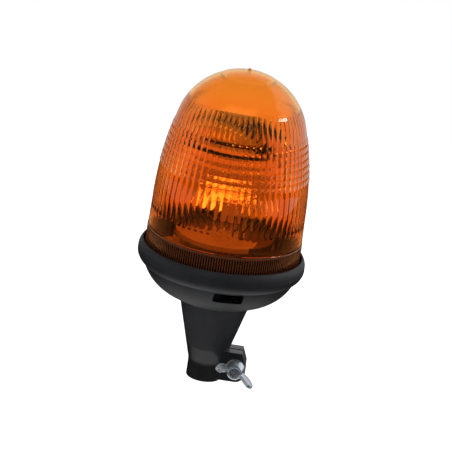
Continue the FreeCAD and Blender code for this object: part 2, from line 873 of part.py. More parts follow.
def post_nut():
    nut_low = deck_z - post_nut_h
    return hexagon(post_nut_flats, nut_low, deck_z).cut(hole(post_r + snug, nut_low, deck_z))


def thrust_washer():
    return tube(hub_r, post_r + running, post_flange_top, thrust_top)


def turntable_bush():
    return tube(bush_r, post_r + running, thrust_top + bush_lift, hub_top_z)


mirror_dir = math.radians(mirror_angle - 90)


def behind(back, side, z):
    # Point at a distance behind the axis and to the side, as the mirror faces.
    forward = Vector(math.cos(mirror_dir), math.sin(mirror_dir), 0)
    across = Vector(-forward.y, forward.x, 0)
    return forward * -back + across * side + Vector(0, 0, z)


foot_screw_back = (bracket_foot + bracket_front) / 2
bracket_spots = [behind(foot_screw_back, side * bracket_screw_y, 0) for side in (1, -1)]


def turntable():
    web_r = turntable_module * turntable_teeth / 2 - dedendum * turntable_module - gear_rim
    hub_low = thrust_top + hub_lift
    dish = (Outline(bush_r + snug, hub_low).line(hub_r, hub_low).line(hub_r, gear_z)
            .line(web_r, gear_z).line(web_r, dish_z).line(dish_r, dish_z).line(dish_r, dish_z + dish_rim_h)
            .line(dish_r - dish_rim_t, dish_z + dish_rim_h).line(dish_r - dish_rim_t, dish_floor_z)
            .line(hub_r, dish_floor_z).line(hub_r, hub_top_z).line(bush_r + snug, hub_top_z).turned())
    teeth = gear(turntable_teeth, turntable_module, gear_z, gear_z + gear_h, idler_angle)
    teeth = teeth.cut(hole(web_r - gear_rim, gear_z, gear_z + gear_h))
    holes = [hole(small_screw_r + snug, dish_z, dish_floor_z, (spot.x, spot.y)) for spot in bracket_spots]
    return without(joined([dish, teeth]), holes)


def turntable_clip():
    clip_r = post_r - clip_depth + clip_out
    ring = tube(clip_r, post_r - clip_depth + snug, clip_z, clip_z + clip_h)
    return open_ring(ring, clip_r, clip_z, clip_h, clip_gap_angle)


# Mirror, drawn facing -Y and then turned to the way it faces at rest
def faced(shape):
    return turned_about_z(shape, mirror_angle)


def mirror_turned(outline):
    # The outline's r is the distance from the mirror's axis and its z the distance ahead of the focus.
    solid = outline.turned()
    solid.rotate(Vector(), Vector(1, 0, 0), 90)
    solid.translate(Vector(0, 0, focus_z))
    return solid


def parabola_ahead(reach):
    return reach ** 2 / (4 * focal) - focal


def reflector():
    reach = mirror_half_w + max(mirror_top_z - focus_z, focus_z - mirror_low_z)
    ahead = parabola_ahead(reach)
    shell = mirror_turned(Outline(0, -focal).parabola((reach / 2, -focal), reach, ahead)
                          .line(reach, ahead - mirror_t)
                          .parabola((reach / 2, -focal - mirror_t), 0, -focal - mirror_t))
    hollow = mirror_turned(Outline(0, -focal).parabola((reach / 2, -focal), reach, ahead)
                           .line(reach, ahead + focal).line(0, ahead + focal))
    w, low, top = mirror_half_w, mirror_low_z, mirror_top_z
    x, z0, z1 = w - mirror_corner, low + mirror_corner, top - mirror_corner
    window = (Outline(-x, low).line(x, low).arc_about((x, z0), w, z0).line(w, z1).arc_about((x, z1), x, top)
              .line(-x, top).arc_about((-x, z1), -w, z1).line(-w, z0).arc_about((-x, z0), -x, low)
              .drawn(-reach, reach))
    bosses = [cross_rod(mirror_boss_r, 0, bracket_front, 0, focus_z - drop).cut(hollow)
              for drop in (0, mirror_low_boss)]
    hole_end = bracket_front - mirror_screw_in - screw_gap
    holes = [cross_rod(small_screw_r + snug, hole_end, bracket_front + cut_over, 0, focus_z - drop)
             for drop in (0, mirror_low_boss)]
    return faced(without(joined([shell.common(window)] + bosses), holes))


def reflector_bracket():
    w = bracket_half_w
    back = bracket_front + bracket_t
    upright = block(-w, w, bracket_front, back, dish_floor_z, focus_z + bracket_rise)
    foot = block(-w, w, bracket_foot, back, dish_floor_z, dish_floor_z + bracket_t)
    holes = [cross_rod(small_screw_r + screw_gap, bracket_front - cut_over, back + cut_over,
                       0, focus_z - drop) for drop in (0, mirror_low_boss)]
    holes += [hole(small_screw_r + screw_gap, dish_floor_z, dish_floor_z + bracket_t,
                   (side * bracket_screw_y, foot_screw_back)) for side in (1, -1)]
    return faced(without(joined([upright, foot]), holes))


def reflector_screws():
    seat = bracket_front + bracket_t
    screws = []
    for drop in (0, mirror_low_boss):
        screw = pan_screw(small_screw_r, -bracket_t - mirror_screw_in, 0, small_head_r, small_head_h, (0, 0))
        screw.rotate(Vector(), Vector(1, 0, 0), -90)
        screw.translate(Vector(0, seat, focus_z - drop))
        screws.append(faced(screw))
    return screws


def bracket_screws():
    seat = dish_floor_z + bracket_t
    return [pan_screw(small_screw_r, dish_z, seat, small_head_r, small_head_h, (spot.x, spot.y))
            for spot in bracket_spots]


# Bulb
def bulb_holder():
    lug_y = clip_arm_y + clip_wire_r + loose
    lug_end = lug_y + clip_lug_t
    lugs = [block(clip_pivot_x - clip_lug_half, clip_pivot_x + clip_lug_half, y, y + clip_lug_t,
                  holder_top - clip_lug_sink, clip_pivot_z + clip_lug_half) for y in (lug_y, -lug_end)]
    skirt = rod(post_r + holder_skirt_wall, holder_low_z - holder_skirt_h, holder_low_z)
    body = joined([rod(holder_r, holder_low_z, holder_top), skirt] + lugs)
    pivot_hole = cross_rod(clip_wire_r + running, -lug_end - cut_over, lug_end + cut_over,
                           clip_pivot_x, clip_pivot_z)
    return without(body, [rod(post_r + snug, holder_low_z - holder_skirt_h - cut_over, holder_low_z),
                          hole(bulb_base_r + loose, holder_low_z, holder_top), pivot_hole])


def bulb_base():
    return (Outline(0, holder_top - bulb_base_l).line(bulb_base_r, holder_top - bulb_base_l)
            .line(bulb_base_r, holder_top).line(bulb_flange_r, holder_top).line(bulb_flange_r, flange_z)
            .line(glass_r, flange_z).line(glass_r, glass_z).line(0, glass_z).turned())


def bulb_glass():
    top = glass_z + glass_l
    inner = glass_r - glass_wall
    spring_line = top - glass_r
    return (Outline(inner, glass_z).line(glass_r, glass_z).line(glass_r, spring_line)
            .arc_about((0, spring_line), 0, top).line(0, top - glass_wall)
            .arc_about((0, spring_line), inner, spring_line).turned())


def bulb_filament():
    low = focus_z - filament_l / 2
    top = low + filament_l
    far = -2 * filament_r
    return joined([rod(filament_r, low, top),
                   rod(filament_leg_r, glass_z, low + filament_bar, (filament_r / 2, 0)),
                   rod(filament_leg_r, glass_z, top, (far, 0)),
                   block(far, 0, -filament_leg_r, filament_leg_r, top - filament_bar, top)])


def bulb_clip():
    # A pivot bar with two arms beside the bulb, whose free ends bend outwards as finger hooks.
    far = clip_pivot_x - clip_reach
    z = clip_pivot_z
    lug_end = clip_arm_y + clip_wire_r + loose + clip_lug_t
    bars = [cross_rod(clip_wire_r, -lug_end, lug_end, clip_pivot_x, z)]
    for side in (1, -1):
        bend = Vector(far, side * clip_arm_y, z)
        hook = min(bend.y, bend.y + side * clip_hook)
        bars.append(Part.makeCylinder(clip_wire_r, clip_reach, bend, Vector(1, 0, 0)))
        bars.append(cross_rod(clip_wire_r, hook, hook + clip_hook, far, z))
        bars.append(Part.makeSphere(clip_wire_r, bend))
    return joined(bars)


# Wiring under the deck
def hung_block(size, at):
    return block(at[0] - size[0] / 2, at[0] + size[0] / 2, at[1] - size[1] / 2, at[1] + size[1] / 2,
                 deck_z - size[2], deck_z)


def terminal_block():
    return hung_block(block_size, block_at)


def suppressor():
    box = hung_block(suppressor_size, suppressor_at)
    return box.makeFillet(suppressor_round, [edge for edge in box.Edges if edge.BoundBox.ZLength > lead_r])


def supply_leads():
    leads = []
    block_low = deck_z - block_size[2]
    for side in (1, -1):
        x = side * lead_spread
        end_x = block_at[0] + x
        leads.append(lead([(x, 0, carrier_top), (x, 0, carrier_top + 12),
                           (end_x, block_at[1], block_low - 13), (end_x, block_at[1], block_low)]))
    return leads


def bulb_lead():
    face_x = block_at[0] - block_size[0] / 2
    start_z = deck_z - block_size[2] / 2
    corner_z = deck_z - post_below_deck - 8
    return lead([(face_x, block_at[1], start_z), (face_x - 5, block_at[1], start_z), (0, 0, corner_z),
                 (0, 0, holder_top - bulb_base_l)])


def motor_leads():
    face_y = block_at[1] - block_size[1] / 2
    cap_z = cap_low + motor_cap_h / 2
    edge_x = motor_at[0] + motor_r + loose
    leads = []
    for side in (1, -1):
        x = block_at[0] + side * lead_spread
        y = motor_at[1] + side * lead_spread
        leads.append(lead([(x, face_y, deck_z - 6), (x, face_y - 6 - side * lead_spread, deck_z - 6),
                           (edge_x + 9, y, cap_z), (edge_x, y, cap_z)]))
    return leads


nodes = {
    "clamp_socket": clamp_socket, "clamp_bolt": clamp_bolt, "clamp_washer": clamp_washer,
    "wing_nut": wing_nut, "contact_carrier": contact_carrier, "contact_plunger": contact_plunger,
    "contact_spring": contact_spring, "earth_ring": earth_ring, "flexible_neck": flexible_neck,
    "neck_ring": neck_ring,
    "neck_ring_screws": neck_ring_screws, "base_bowl": base_bowl, "lens_seal": lens_seal,
    "lens_dome": lens_dome, "chassis_plate": chassis_plate, "chassis_screws": chassis_screws,
    "shade_ring": shade_ring,
    "motor_can": motor_can, "motor_end_cap": motor_end_cap, "motor_screws": motor_screws,
    "motor_shaft": motor_shaft, "motor_rotor": motor_rotor, "motor_pinion": motor_pinion,
    "idler_gear": idler_gear, "idler_axle": idler_axle, "idler_clip": idler_clip,
    "bearing_post": bearing_post, "post_nut": post_nut, "thrust_washer": thrust_washer,
    "turntable_bush": turntable_bush, "turntable": turntable, "turntable_clip": turntable_clip,
    "reflector": reflector, "reflector_bracket": reflector_bracket, "reflector_screws": reflector_screws,
    "bracket_screws": bracket_screws, "bulb_holder": bulb_holder, "bulb_base": bulb_base,
    "bulb_glass": bulb_glass, "bulb_filament": bulb_filament, "bulb_clip": bulb_clip,
    "terminal_block": terminal_block, "suppressor": suppressor, "supply_leads": supply_leads,
    "bulb_lead": bulb_lead, "motor_leads": motor_leads,
}

os.makedirs("parts", exist_ok=True)
for name, make in nodes.items():
    made = make()
    shape = Part.makeCompound(made) if isinstance(made, list) else made
    shape.exportStep("parts/" + name + ".step")
    solids = shape.Solids
    print(name, len(solids), "solids", round(sum(s.Volume for s in solids), 1), "mm3", shape.isValid())
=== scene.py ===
import json
import math

import bpy
from mathutils import Matrix, Vector

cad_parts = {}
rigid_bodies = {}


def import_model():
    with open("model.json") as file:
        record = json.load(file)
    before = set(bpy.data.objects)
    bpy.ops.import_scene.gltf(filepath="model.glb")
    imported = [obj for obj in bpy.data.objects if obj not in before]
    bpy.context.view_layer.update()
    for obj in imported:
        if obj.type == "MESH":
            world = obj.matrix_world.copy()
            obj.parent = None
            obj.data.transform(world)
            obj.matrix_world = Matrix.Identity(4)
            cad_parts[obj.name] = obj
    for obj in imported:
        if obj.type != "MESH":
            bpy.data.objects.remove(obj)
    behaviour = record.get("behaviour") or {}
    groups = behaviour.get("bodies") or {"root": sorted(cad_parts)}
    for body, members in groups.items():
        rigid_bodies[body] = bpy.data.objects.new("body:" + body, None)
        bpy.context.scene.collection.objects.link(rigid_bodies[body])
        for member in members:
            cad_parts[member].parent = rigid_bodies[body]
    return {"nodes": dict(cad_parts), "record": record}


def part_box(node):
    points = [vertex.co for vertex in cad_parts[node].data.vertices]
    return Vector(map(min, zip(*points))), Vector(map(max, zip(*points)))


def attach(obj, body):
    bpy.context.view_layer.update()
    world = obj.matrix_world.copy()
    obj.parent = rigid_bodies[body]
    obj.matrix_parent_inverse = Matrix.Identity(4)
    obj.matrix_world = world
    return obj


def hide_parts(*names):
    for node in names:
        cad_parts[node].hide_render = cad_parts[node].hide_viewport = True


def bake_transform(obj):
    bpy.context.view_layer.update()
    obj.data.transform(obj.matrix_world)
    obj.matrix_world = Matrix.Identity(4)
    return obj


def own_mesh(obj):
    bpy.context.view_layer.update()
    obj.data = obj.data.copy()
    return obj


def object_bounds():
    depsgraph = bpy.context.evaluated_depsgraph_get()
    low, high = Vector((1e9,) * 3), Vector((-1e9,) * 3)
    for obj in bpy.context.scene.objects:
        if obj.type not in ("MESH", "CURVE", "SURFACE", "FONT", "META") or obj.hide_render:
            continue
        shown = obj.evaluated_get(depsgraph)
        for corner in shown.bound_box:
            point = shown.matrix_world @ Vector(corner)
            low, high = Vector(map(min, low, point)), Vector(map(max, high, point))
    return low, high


for leftover in list(bpy.data.objects):
    bpy.data.objects.remove(leftover)
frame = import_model()
cadLow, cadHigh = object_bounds()
nodes = frame["nodes"]
mm = 0.001  # outlines are drawn in millimetres, the scene is in metres
weld = 1e-6  # points nearer than this become one
facing = math.radians(-14.0)  # the way the mirror faces at rest, from -Y
print("frame loaded:", len(nodes), "nodes")


# Drawing tools
def arcRun(centre, radius, fromDeg, toDeg, count):
    turns = [math.radians(fromDeg + (toDeg - fromDeg) * k / count) for k in range(count + 1)]
    return [(centre[0] + radius * math.cos(t), centre[1] + radius * math.sin(t)) for t in turns]


def straightRun(start, end, count):
    return [(start[0] + (end[0] - start[0]) * k / count, start[1] + (end[1] - start[1]) * k / count)
            for k in range(count + 1)]


def throughRun(start, mid, end, count):
    # points on the arc from start through mid to end
    (ax, ay), (bx, by), (cx, cy) = start, mid, end
    d = 2 * (ax * (by - cy) + bx * (cy - ay) + cx * (ay - by))
    a2, b2, c2 = ax * ax + ay * ay, bx * bx + by * by, cx * cx + cy * cy
    ux = (a2 * (by - cy) + b2 * (cy - ay) + c2 * (ay - by)) / d
    uy = (a2 * (cx - bx) + b2 * (ax - cx) + c2 * (bx - ax)) / d
    first, middle, last = (math.atan2(y - uy, x - ux) for x, y in (start, mid, end))
    sweep = (last - first) % math.tau
    if (middle - first) % math.tau > sweep:
        sweep -= math.tau
    radius = math.hypot(ax - ux, ay - uy)
    return arcRun((ux, uy), radius, math.degrees(first), math.degrees(first + sweep), count)


def startPiece(name):
    # one vertex at the origin, in edit mode
    bpy.ops.object.select_all(action="DESELECT")
    bpy.ops.mesh.primitive_plane_add(size=mm)
    piece = bpy.context.object
    piece.name = name
    piece.data.name = name
    bpy.ops.object.mode_set(mode="EDIT")
    bpy.ops.mesh.select_mode(type="VERT")
    bpy.ops.mesh.select_all(action="SELECT")
    bpy.ops.mesh.merge(type="CENTER")
    return piece


def drawLoop(points):
    # takes the vertex to the first point, extrudes it along the rest and back to the start
    points = [Vector(point) * mm for point in points]
    bpy.ops.transform.translate(value=points[0])
    for here, there in zip(points, points[1:] + points[:1]):
        bpy.ops.mesh.extrude_vertices_move(TRANSFORM_OT_translate={"value": there - here})
    bpy.ops.mesh.select_all(action="SELECT")
    bpy.ops.mesh.remove_doubles(threshold=weld)


def cleanUp():
    bpy.ops.mesh.select_all(action="SELECT")
    bpy.ops.mesh.remove_doubles(threshold=weld)
    bpy.ops.mesh.normals_make_consistent(inside=False)
    bpy.ops.object.mode_set(mode="OBJECT")


def lathe(name, outline, steps):
    # spins a closed outline of radius and height round the Z axis
    piece = startPiece(name)
    drawLoop([(r, 0, z) for r, z in outline])
    bpy.ops.mesh.select_all(action="SELECT")
    bpy.ops.mesh.spin(steps=steps, angle=math.tau, center=(0, 0, 0), axis=(0, 0, 1))
    cleanUp()
    return piece


def applyModifier(piece, name, kind, **settings):
    bpy.context.view_layer.objects.active = piece
    modifier = piece.modifiers.new(name, kind)
    for key, value in settings.items():
        setattr(modifier, key, value)
    bpy.ops.object.modifier_apply(modifier=name)


def paintGroup(piece, name, weightAt):
    group = piece.vertex_groups.new(name=name)
    for vertex in piece.data.vertices:
        weight = weightAt(vertex.co)
        if weight > 0:
            group.add([vertex.index], weight, "REPLACE")


def pushGroup(piece, name, depth, **settings):
    # moves the painted group along its normals, or a given direction, then drops the group
    applyModifier(piece, name, "DISPLACE", vertex_group=name, mid_level=0, strength=depth * mm, **settings)
    piece.vertex_groups.remove(piece.vertex_groups[name])


def selectOnly(*pieces):
    # the first piece becomes the active one
    bpy.ops.object.select_all(action="DESELECT")
    for piece in pieces:
        piece.select_set(True)
    bpy.context.view_layer.objects.active = pieces[0]


def pickFaces(piece, chosen):
    # goes into edit mode with the chosen faces selected
    selectOnly(piece)
    bpy.ops.object.mode_set(mode="EDIT")
    bpy.ops.mesh.select_mode(type="FACE")
    bpy.ops.mesh.select_all(action="DESELECT")
    bpy.ops.object.mode_set(mode="OBJECT")
    for face in piece.data.polygons:
        face.select = chosen(face)
    bpy.ops.object.mode_set(mode="EDIT")


def joinPieces(first, *others):
    selectOnly(first, *others)
    bpy.ops.object.join()
    return first


def smooth(piece, angle):
    selectOnly(piece)
    bpy.ops.object.shade_smooth_by_angle(angle=math.radians(angle))


# Shader tools
class Wire:
    # a shader output that works in sums
    def __init__(self, paint, socket):
        self.paint = paint
        self.socket = socket

    def maths(self, operation, left, right):
        return self.paint.add("ShaderNodeMath", {"operation": operation}, {0: left, 1: right})

    def __add__(self, other):
        return self.maths("ADD", self, other)

    def __radd__(self, other):
        return self.maths("ADD", other, self)

    def __sub__(self, other):
        return self.maths("SUBTRACT", self, other)

    def __rsub__(self, other):
        return self.maths("SUBTRACT", other, self)

    def __mul__(self, other):
        return self.maths("MULTIPLY", self, other)

    def __rmul__(self, other):
        return self.maths("MULTIPLY", other, self)

    def __truediv__(self, other):
        return self.maths("DIVIDE", self, other)

    def __rtruediv__(self, other):
        return self.maths("DIVIDE", other, self)

    def __pow__(self, other):
        return self.maths("POWER", self, other)

    def __abs__(self):
        return self.paint.add("ShaderNodeMath", {"operation": "ABSOLUTE"}, {0: self})

    def orMore(self, other):
        return self.maths("MAXIMUM", self, other)

    def over(self, low, high):
        # 0 below low, 1 above high
        return self.paint.add("ShaderNodeMapRange", {"interpolation_type": "SMOOTHSTEP"},
                              {"Value": self, "From Min": low, "From Max": high})


class Paint:
    # one node tree, filled by add
    def __init__(self, tree):
        self.tree = tree
        tree.nodes.clear()

    def add(self, kind, settings=None, inputs=None, output=0):
        node = self.tree.nodes.new(kind)
        for key, value in (settings or {}).items():
            setattr(node, key, value)
        for key, value in (inputs or {}).items():
            if isinstance(value, Wire):
                self.tree.links.new(value.socket, node.inputs[key])
            else:
                node.inputs[key].default_value = value
        return Wire(self, node.outputs[output]) if node.outputs else None

    def place(self):
        return self.add("ShaderNodeTexCoord", output="Object")

    def scaled(self, *scale):
        return self.add("ShaderNodeMapping", inputs={"Vector": self.place(), "Scale": scale})

    def noise(self, scale, detail, roughness=0.5, where=None):
        return self.add("ShaderNodeTexNoise", inputs={
            "Vector": where or self.place(), "Scale": scale, "Detail": detail, "Roughness": roughness})

    def cells(self, scale):
        return self.add("ShaderNodeTexVoronoi", inputs={"Vector": self.place(), "Scale": scale},
                        output="Distance")

    def parts(self, where=None):
        split = self.add("ShaderNodeSeparateXYZ", inputs={"Vector": where or self.place()})
        return [Wire(self, socket) for socket in split.socket.node.outputs]

    def rays(self, *kinds):
        path = self.add("ShaderNodeLightPath").socket.node.outputs
        return [Wire(self, path["Is " + kind + " Ray"]) for kind in kinds]

    def blend(self, factor, first, second):
        return self.add("ShaderNodeMix", {"data_type": "RGBA"}, {0: factor, 6: first, 7: second}, output=2)

    def bump(self, height, strength, depth):
        return self.add("ShaderNodeBump", inputs={
            "Height": height, "Strength": strength, "Distance": depth * mm})

    def mixShader(self, factor, first, second):
        return self.add("ShaderNodeMixShader", inputs={0: factor, 1: first, 2: second})

    def principled(self, **sockets):
        return self.add("ShaderNodeBsdfPrincipled", inputs={k.replace("_", " "): v for k, v in sockets.items()})

    def show(self, shader):
        self.add("ShaderNodeOutputMaterial", inputs={"Surface": shader})


def newFinish(name):
    material = bpy.data.materials.new(name)
    material.use_nodes = True
    return material, Paint(material.node_tree)


def rgb(r, g, b):
    return (r, g, b, 1.0)


def between(ends, share):
    return ends[0] + (ends[1] - ends[0]) * share


def shared(first, second, share):
    # a sum in which second has the given share
    return first * (1 - share) + second * share


def letLampsThrough(paint, shader, tint):
    # lamp light and bounced light go straight through a clear wall instead of being bent
    shadow, diffuse = paint.rays("Shadow", "Diffuse")
    clear = paint.add("ShaderNodeBsdfTransparent", inputs={"Color": tint})
    return paint.mixShader(shadow.orMore(diffuse), shader, clear)


# Finishes: a noise is its scale, detail and roughness, and a relief is a bump's strength and depth in mm
# the skirt colour is amber darkened to near black: painted shade from the black ring behind the skirt
amber = dict(cap=rgb(0.96, 0.47, 0.115), side=rgb(0.97, 0.35, 0.075), foot=rgb(0.86, 0.28, 0.07),
             skirt=rgb(0.18, 0.07, 0.025), capRise=(205, 240), sideRise=(142, 178), skirtRise=(126.5, 128.5),
             perFace=rgb(0.955, 0.60, 0.29), index=1.49, sheen=rgb(1.0, 0.78, 0.6), haze=(0.02, 0.05),
             flow=(90.0, 2.0), flowScale=(1, 1, 0.25), relief=(0.08, 0.15),
             # painted glint colour and its share, for the skirt's ridge tops
             ridgeGlint=rgb(0.30, 0.085, 0.03), ridgeGlintRough=0.3, ridgeGlintShare=0.45, ridgeR=(62.95, 63.3))


def amberFinish():
    material, paint = newFinish("amberClear")
    flow = paint.noise(*amber["flow"], where=paint.scaled(*amber["flowScale"]))  # flow lines of the moulding
    x, y, z = paint.parts()
    height = z / mm  # the colour gets darker towards the bottom; the skirt's near-black tone is painted shade from the black ring behind it
    colour = paint.blend(height.over(*amber["skirtRise"]), amber["skirt"], amber["foot"])
    colour = paint.blend(height.over(*amber["sideRise"]), colour, amber["side"])
    colour = paint.blend(height.over(*amber["capRise"]), colour, amber["cap"])
    clear = paint.principled(Base_Color=colour, Transmission_Weight=1.0, IOR=amber["index"],
                             Specular_Tint=amber["sheen"], Roughness=between(amber["haze"], flow),
                             Normal=paint.bump(flow, *amber["relief"]))
    # painted glints: an opaque orange layer on the skirt's ridge tops stands in for light caught in the thick
    # ridges
    ridgeGlint = paint.principled(Base_Color=amber["ridgeGlint"], Roughness=amber["ridgeGlintRough"])
    ridges = ((x * x + y * y) ** 0.5 / mm).over(*amber["ridgeR"])
    # share of the painted glint layer, on the skirt's ridge tops only
    thick = (1 - height.over(*amber["skirtRise"])) * ridges * amber["ridgeGlintShare"]
    wall = paint.mixShader(thick, clear, ridgeGlint)
    paint.show(letLampsThrough(paint, wall, amber["perFace"]))
    return material


rubber = dict(dark=rgb(0.0155, 0.016, 0.019), pale=rgb(0.029, 0.030, 0.036), cloud=(35.0, 4.0, 0.6),
              clouded=(0.35, 0.75), grain=(2600.0, 2.0), smear=(220.0, 3.0), smearScale=(1, 1, 0.15),
              smearTone=0.2, smearRelief=0.3, grainShare=0.4, rough=(0.48, 0.62), relief=(0.12, 0.12))


def rubberFinish():
    material, paint = newFinish("mouldedRubber")
    cloud = paint.noise(*rubber["cloud"])
    grain = paint.noise(*rubber["grain"])
    smear = paint.noise(*rubber["smear"], where=paint.scaled(*rubber["smearScale"]))
    tone = shared(cloud.over(*rubber["clouded"]), smear, rubber["smearTone"])
    paint.show(paint.principled(
        Base_Color=paint.blend(tone, rubber["dark"], rubber["pale"]),
        Roughness=between(rubber["rough"], shared(cloud, grain, rubber["grainShare"])),
        Normal=paint.bump(shared(grain, smear, rubber["smearRelief"]), *rubber["relief"])))
    return material


satin = dict(dark=rgb(0.010, 0.010, 0.011), pale=rgb(0.020, 0.020, 0.022), cloud=(60.0, 4.0),
             clouded=(0.4, 0.7), spark=1800.0, rough=(0.42, 0.6), shine=0.25, polish=0.28, polishTone=0.4,
             handled=(50, 70), relief=(0.06, 0.08))


def satinFinish():
    material, paint = newFinish("satinPlastic")
    cloud = paint.noise(*satin["cloud"])
    spark = paint.cells(satin["spark"])
    polished = 1 - (paint.parts()[2] / mm).over(*satin["handled"])  # the outside is smoother than the deck
    tone = shared(cloud.over(*satin["clouded"]), polished, satin["polishTone"])
    paint.show(paint.principled(
        Base_Color=paint.blend(tone, satin["dark"], satin["pale"]), Roughness=between(satin["rough"], cloud),
        Specular_IOR_Level=satin["shine"], Coat_Weight=polished, Coat_Roughness=satin["polish"],
        Normal=paint.bump(spark, *satin["relief"])))
    return material


zinc = dict(bright=rgb(0.88, 0.93, 0.97), dull=rgb(0.62, 0.70, 0.78), cloud=(70.0, 2.0, 0.6),
            clouded=(0.35, 0.7), cleaned=(0.3, 0.6), pits=(1500.0, 3.0), pitShare=0.5, rough=(0.16, 0.36),
            metal=(0.66, 0.8), relief=(0.05, 0.06))


def zincFinish():
    material, paint = newFinish("zincPlate")
    cloud = paint.noise(*zinc["cloud"])
    pits = paint.noise(*zinc["pits"])
    paint.show(paint.principled(
        Base_Color=paint.blend(cloud.over(*zinc["clouded"]), zinc["bright"], zinc["dull"]),
        Metallic=between(zinc["metal"], cloud.over(*zinc["cleaned"])),
        Roughness=between(zinc["rough"], shared(cloud, pits, zinc["pitShare"])),
        Normal=paint.bump(pits, *zinc["relief"])))
    return material


steel = dict(bright=rgb(0.66, 0.66, 0.65), dull=rgb(0.46, 0.46, 0.46), lines=(900.0, 2.0),
             lineScale=(0.2, 0.2, 6), lined=(0.3, 0.75), rough=(0.18, 0.34), relief=(0.15, 0.04))


def steelFinish():
    material, paint = newFinish("groundSteel")
    lines = paint.noise(*steel["lines"], where=paint.scaled(*steel["lineScale"]))  # rings left by grinding
    paint.show(paint.principled(
        Base_Color=paint.blend(lines.over(*steel["lined"]), steel["bright"], steel["dull"]), Metallic=1.0,
        Roughness=between(steel["rough"], lines), Normal=paint.bump(lines, *steel["relief"])))
    return material


brass = dict(bright=rgb(0.80, 0.60, 0.26), dull=rgb(0.52, 0.35, 0.13), lines=(1100.0, 2.0),
             lineScale=(0.2, 0.2, 5), lineShare=0.5, stain=(180.0, 4.0), stained=(0.45, 0.8), stainTone=0.7,
             rough=(0.2, 0.4), relief=(0.12, 0.04))


def brassFinish():
    material, paint = newFinish("turnedBrass")
    lines = paint.noise(*brass["lines"], where=paint.scaled(*brass["lineScale"]))  # rings left by turning
    stain = paint.noise(*brass["stain"])
    tone = stain.over(*brass["stained"]) * brass["stainTone"]
    paint.show(paint.principled(
        Base_Color=paint.blend(tone, brass["bright"], brass["dull"]), Metallic=1.0,
        Roughness=between(brass["rough"], shared(stain, lines, brass["lineShare"])),
        Normal=paint.bump(lines, *brass["relief"])))
    return material


acetal = dict(pale=rgb(0.80, 0.78, 0.72), shade=rgb(0.66, 0.63, 0.55), cloud=(70.0, 4.0), clouded=(0.45, 0.8),
              # the near-black colour is painted shade for the dish floor
              grain=(1600.0, 2.0), rough=(0.3, 0.45), relief=(0.06, 0.05), paintedShade=rgb(0.03, 0.03, 0.03),
              behind=(0, 2), beside=(27.5, 28.5), dishLow=(122.4, 122.6))


def acetalFinish():
    material, paint = newFinish("paleAcetal")
    cloud = paint.noise(*acetal["cloud"])
    grain = paint.noise(*acetal["grain"])
    # painted shade: the dish floor is painted near-black behind the mirror's foot and at its right, where the
    # parts above shade it
    x, y, z = (axis / mm for axis in paint.parts())
    behind = (y * math.cos(facing) - x * math.sin(facing)).over(*acetal["behind"])
    beside = (x * math.cos(facing) + y * math.sin(facing)).over(*acetal["beside"])
    unshaded = 1 - (1 - (1 - behind) * (1 - beside)) * z.over(*acetal["dishLow"])
    colour = paint.blend(cloud.over(*acetal["clouded"]), acetal["pale"], acetal["shade"])
    paint.show(paint.principled(
        Base_Color=paint.blend(unshaded, acetal["paintedShade"], colour), Roughness=between(acetal["rough"], grain),
        Normal=paint.bump(grain, *acetal["relief"])))
    return material


ceramic = dict(glaze=rgb(0.82, 0.72, 0.56), speck=rgb(0.42, 0.36, 0.28), specks=900.0, specked=(0.82, 0.95),
               speckTone=0.7, cloud=(120.0, 3.0), rough=(0.18, 0.3), relief=(0.1, 0.1))


def ceramicFinish():
    material, paint = newFinish("glazedCeramic")
    specks = paint.cells(ceramic["specks"])
    cloud = paint.noise(*ceramic["cloud"])
    tone = (1 - specks).over(*ceramic["specked"]) * ceramic["speckTone"]
    paint.show(paint.principled(
        Base_Color=paint.blend(tone, ceramic["glaze"], ceramic["speck"]),
        Roughness=between(ceramic["rough"], cloud), Normal=paint.bump(cloud, *ceramic["relief"])))
    return material


mirror = dict(colour=rgb(0.90, 0.90, 0.89), dull=rgb(0.6, 0.6, 0.6), ripple=(110.0, 2.0), dust=(900.0, 4.0),
              dusted=(0.55, 0.85), dustTone=0.25, haze=(0.02, 0.07), relief=(0.05, 0.1))


def mirrorFinish():
    material, paint = newFinish("metallisedMirror")
    ripple = paint.noise(*mirror["ripple"])
    dust = paint.noise(*mirror["dust"])
    tone = dust.over(*mirror["dusted"]) * mirror["dustTone"]
    paint.show(paint.principled(
        Base_Color=paint.blend(tone, mirror["colour"], mirror["dull"]), Metallic=1.0,
        Roughness=between(mirror["haze"], dust), Normal=paint.bump(ripple, *mirror["relief"])))
    return material


glass = dict(colour=rgb(0.96, 0.97, 0.97), perFace=rgb(0.98, 0.985, 0.985), index=1.46, draw=(300.0, 2.0),
             drawScale=(1, 1, 0.2), haze=0.02, relief=(0.05, 0.05))


def glassFinish():
    material, paint = newFinish("quartzGlass")
    draw = paint.noise(*glass["draw"], where=paint.scaled(*glass["drawScale"]))  # lines left by drawing
    clear = paint.principled(Base_Color=glass["colour"], Transmission_Weight=1.0, IOR=glass["index"],
                             Roughness=glass["haze"] * draw, Normal=paint.bump(draw, *glass["relief"]))
    paint.show(letLampsThrough(paint, clear, glass["perFace"]))
    return material


tungsten = dict(bright=rgb(0.32, 0.31, 0.30), dull=rgb(0.18, 0.17, 0.17), lines=(4000.0, 2.0),
                rough=(0.3, 0.5), relief=(0.1, 0.01))


def tungstenFinish():
    material, paint = newFinish("tungstenWire")
    lines = paint.noise(*tungsten["lines"])
    paint.show(paint.principled(
        Base_Color=paint.blend(lines, tungsten["bright"], tungsten["dull"]), Metallic=1.0,
        Roughness=between(tungsten["rough"], lines), Normal=paint.bump(lines, *tungsten["relief"])))
    return material


dipped = dict(pale=rgb(0.62, 0.34, 0.04), dark=rgb(0.45, 0.22, 0.02), dimples=(350.0, 3.0),
              dimpled=(0.4, 0.8), rough=(0.18, 0.33), relief=(0.25, 0.2))


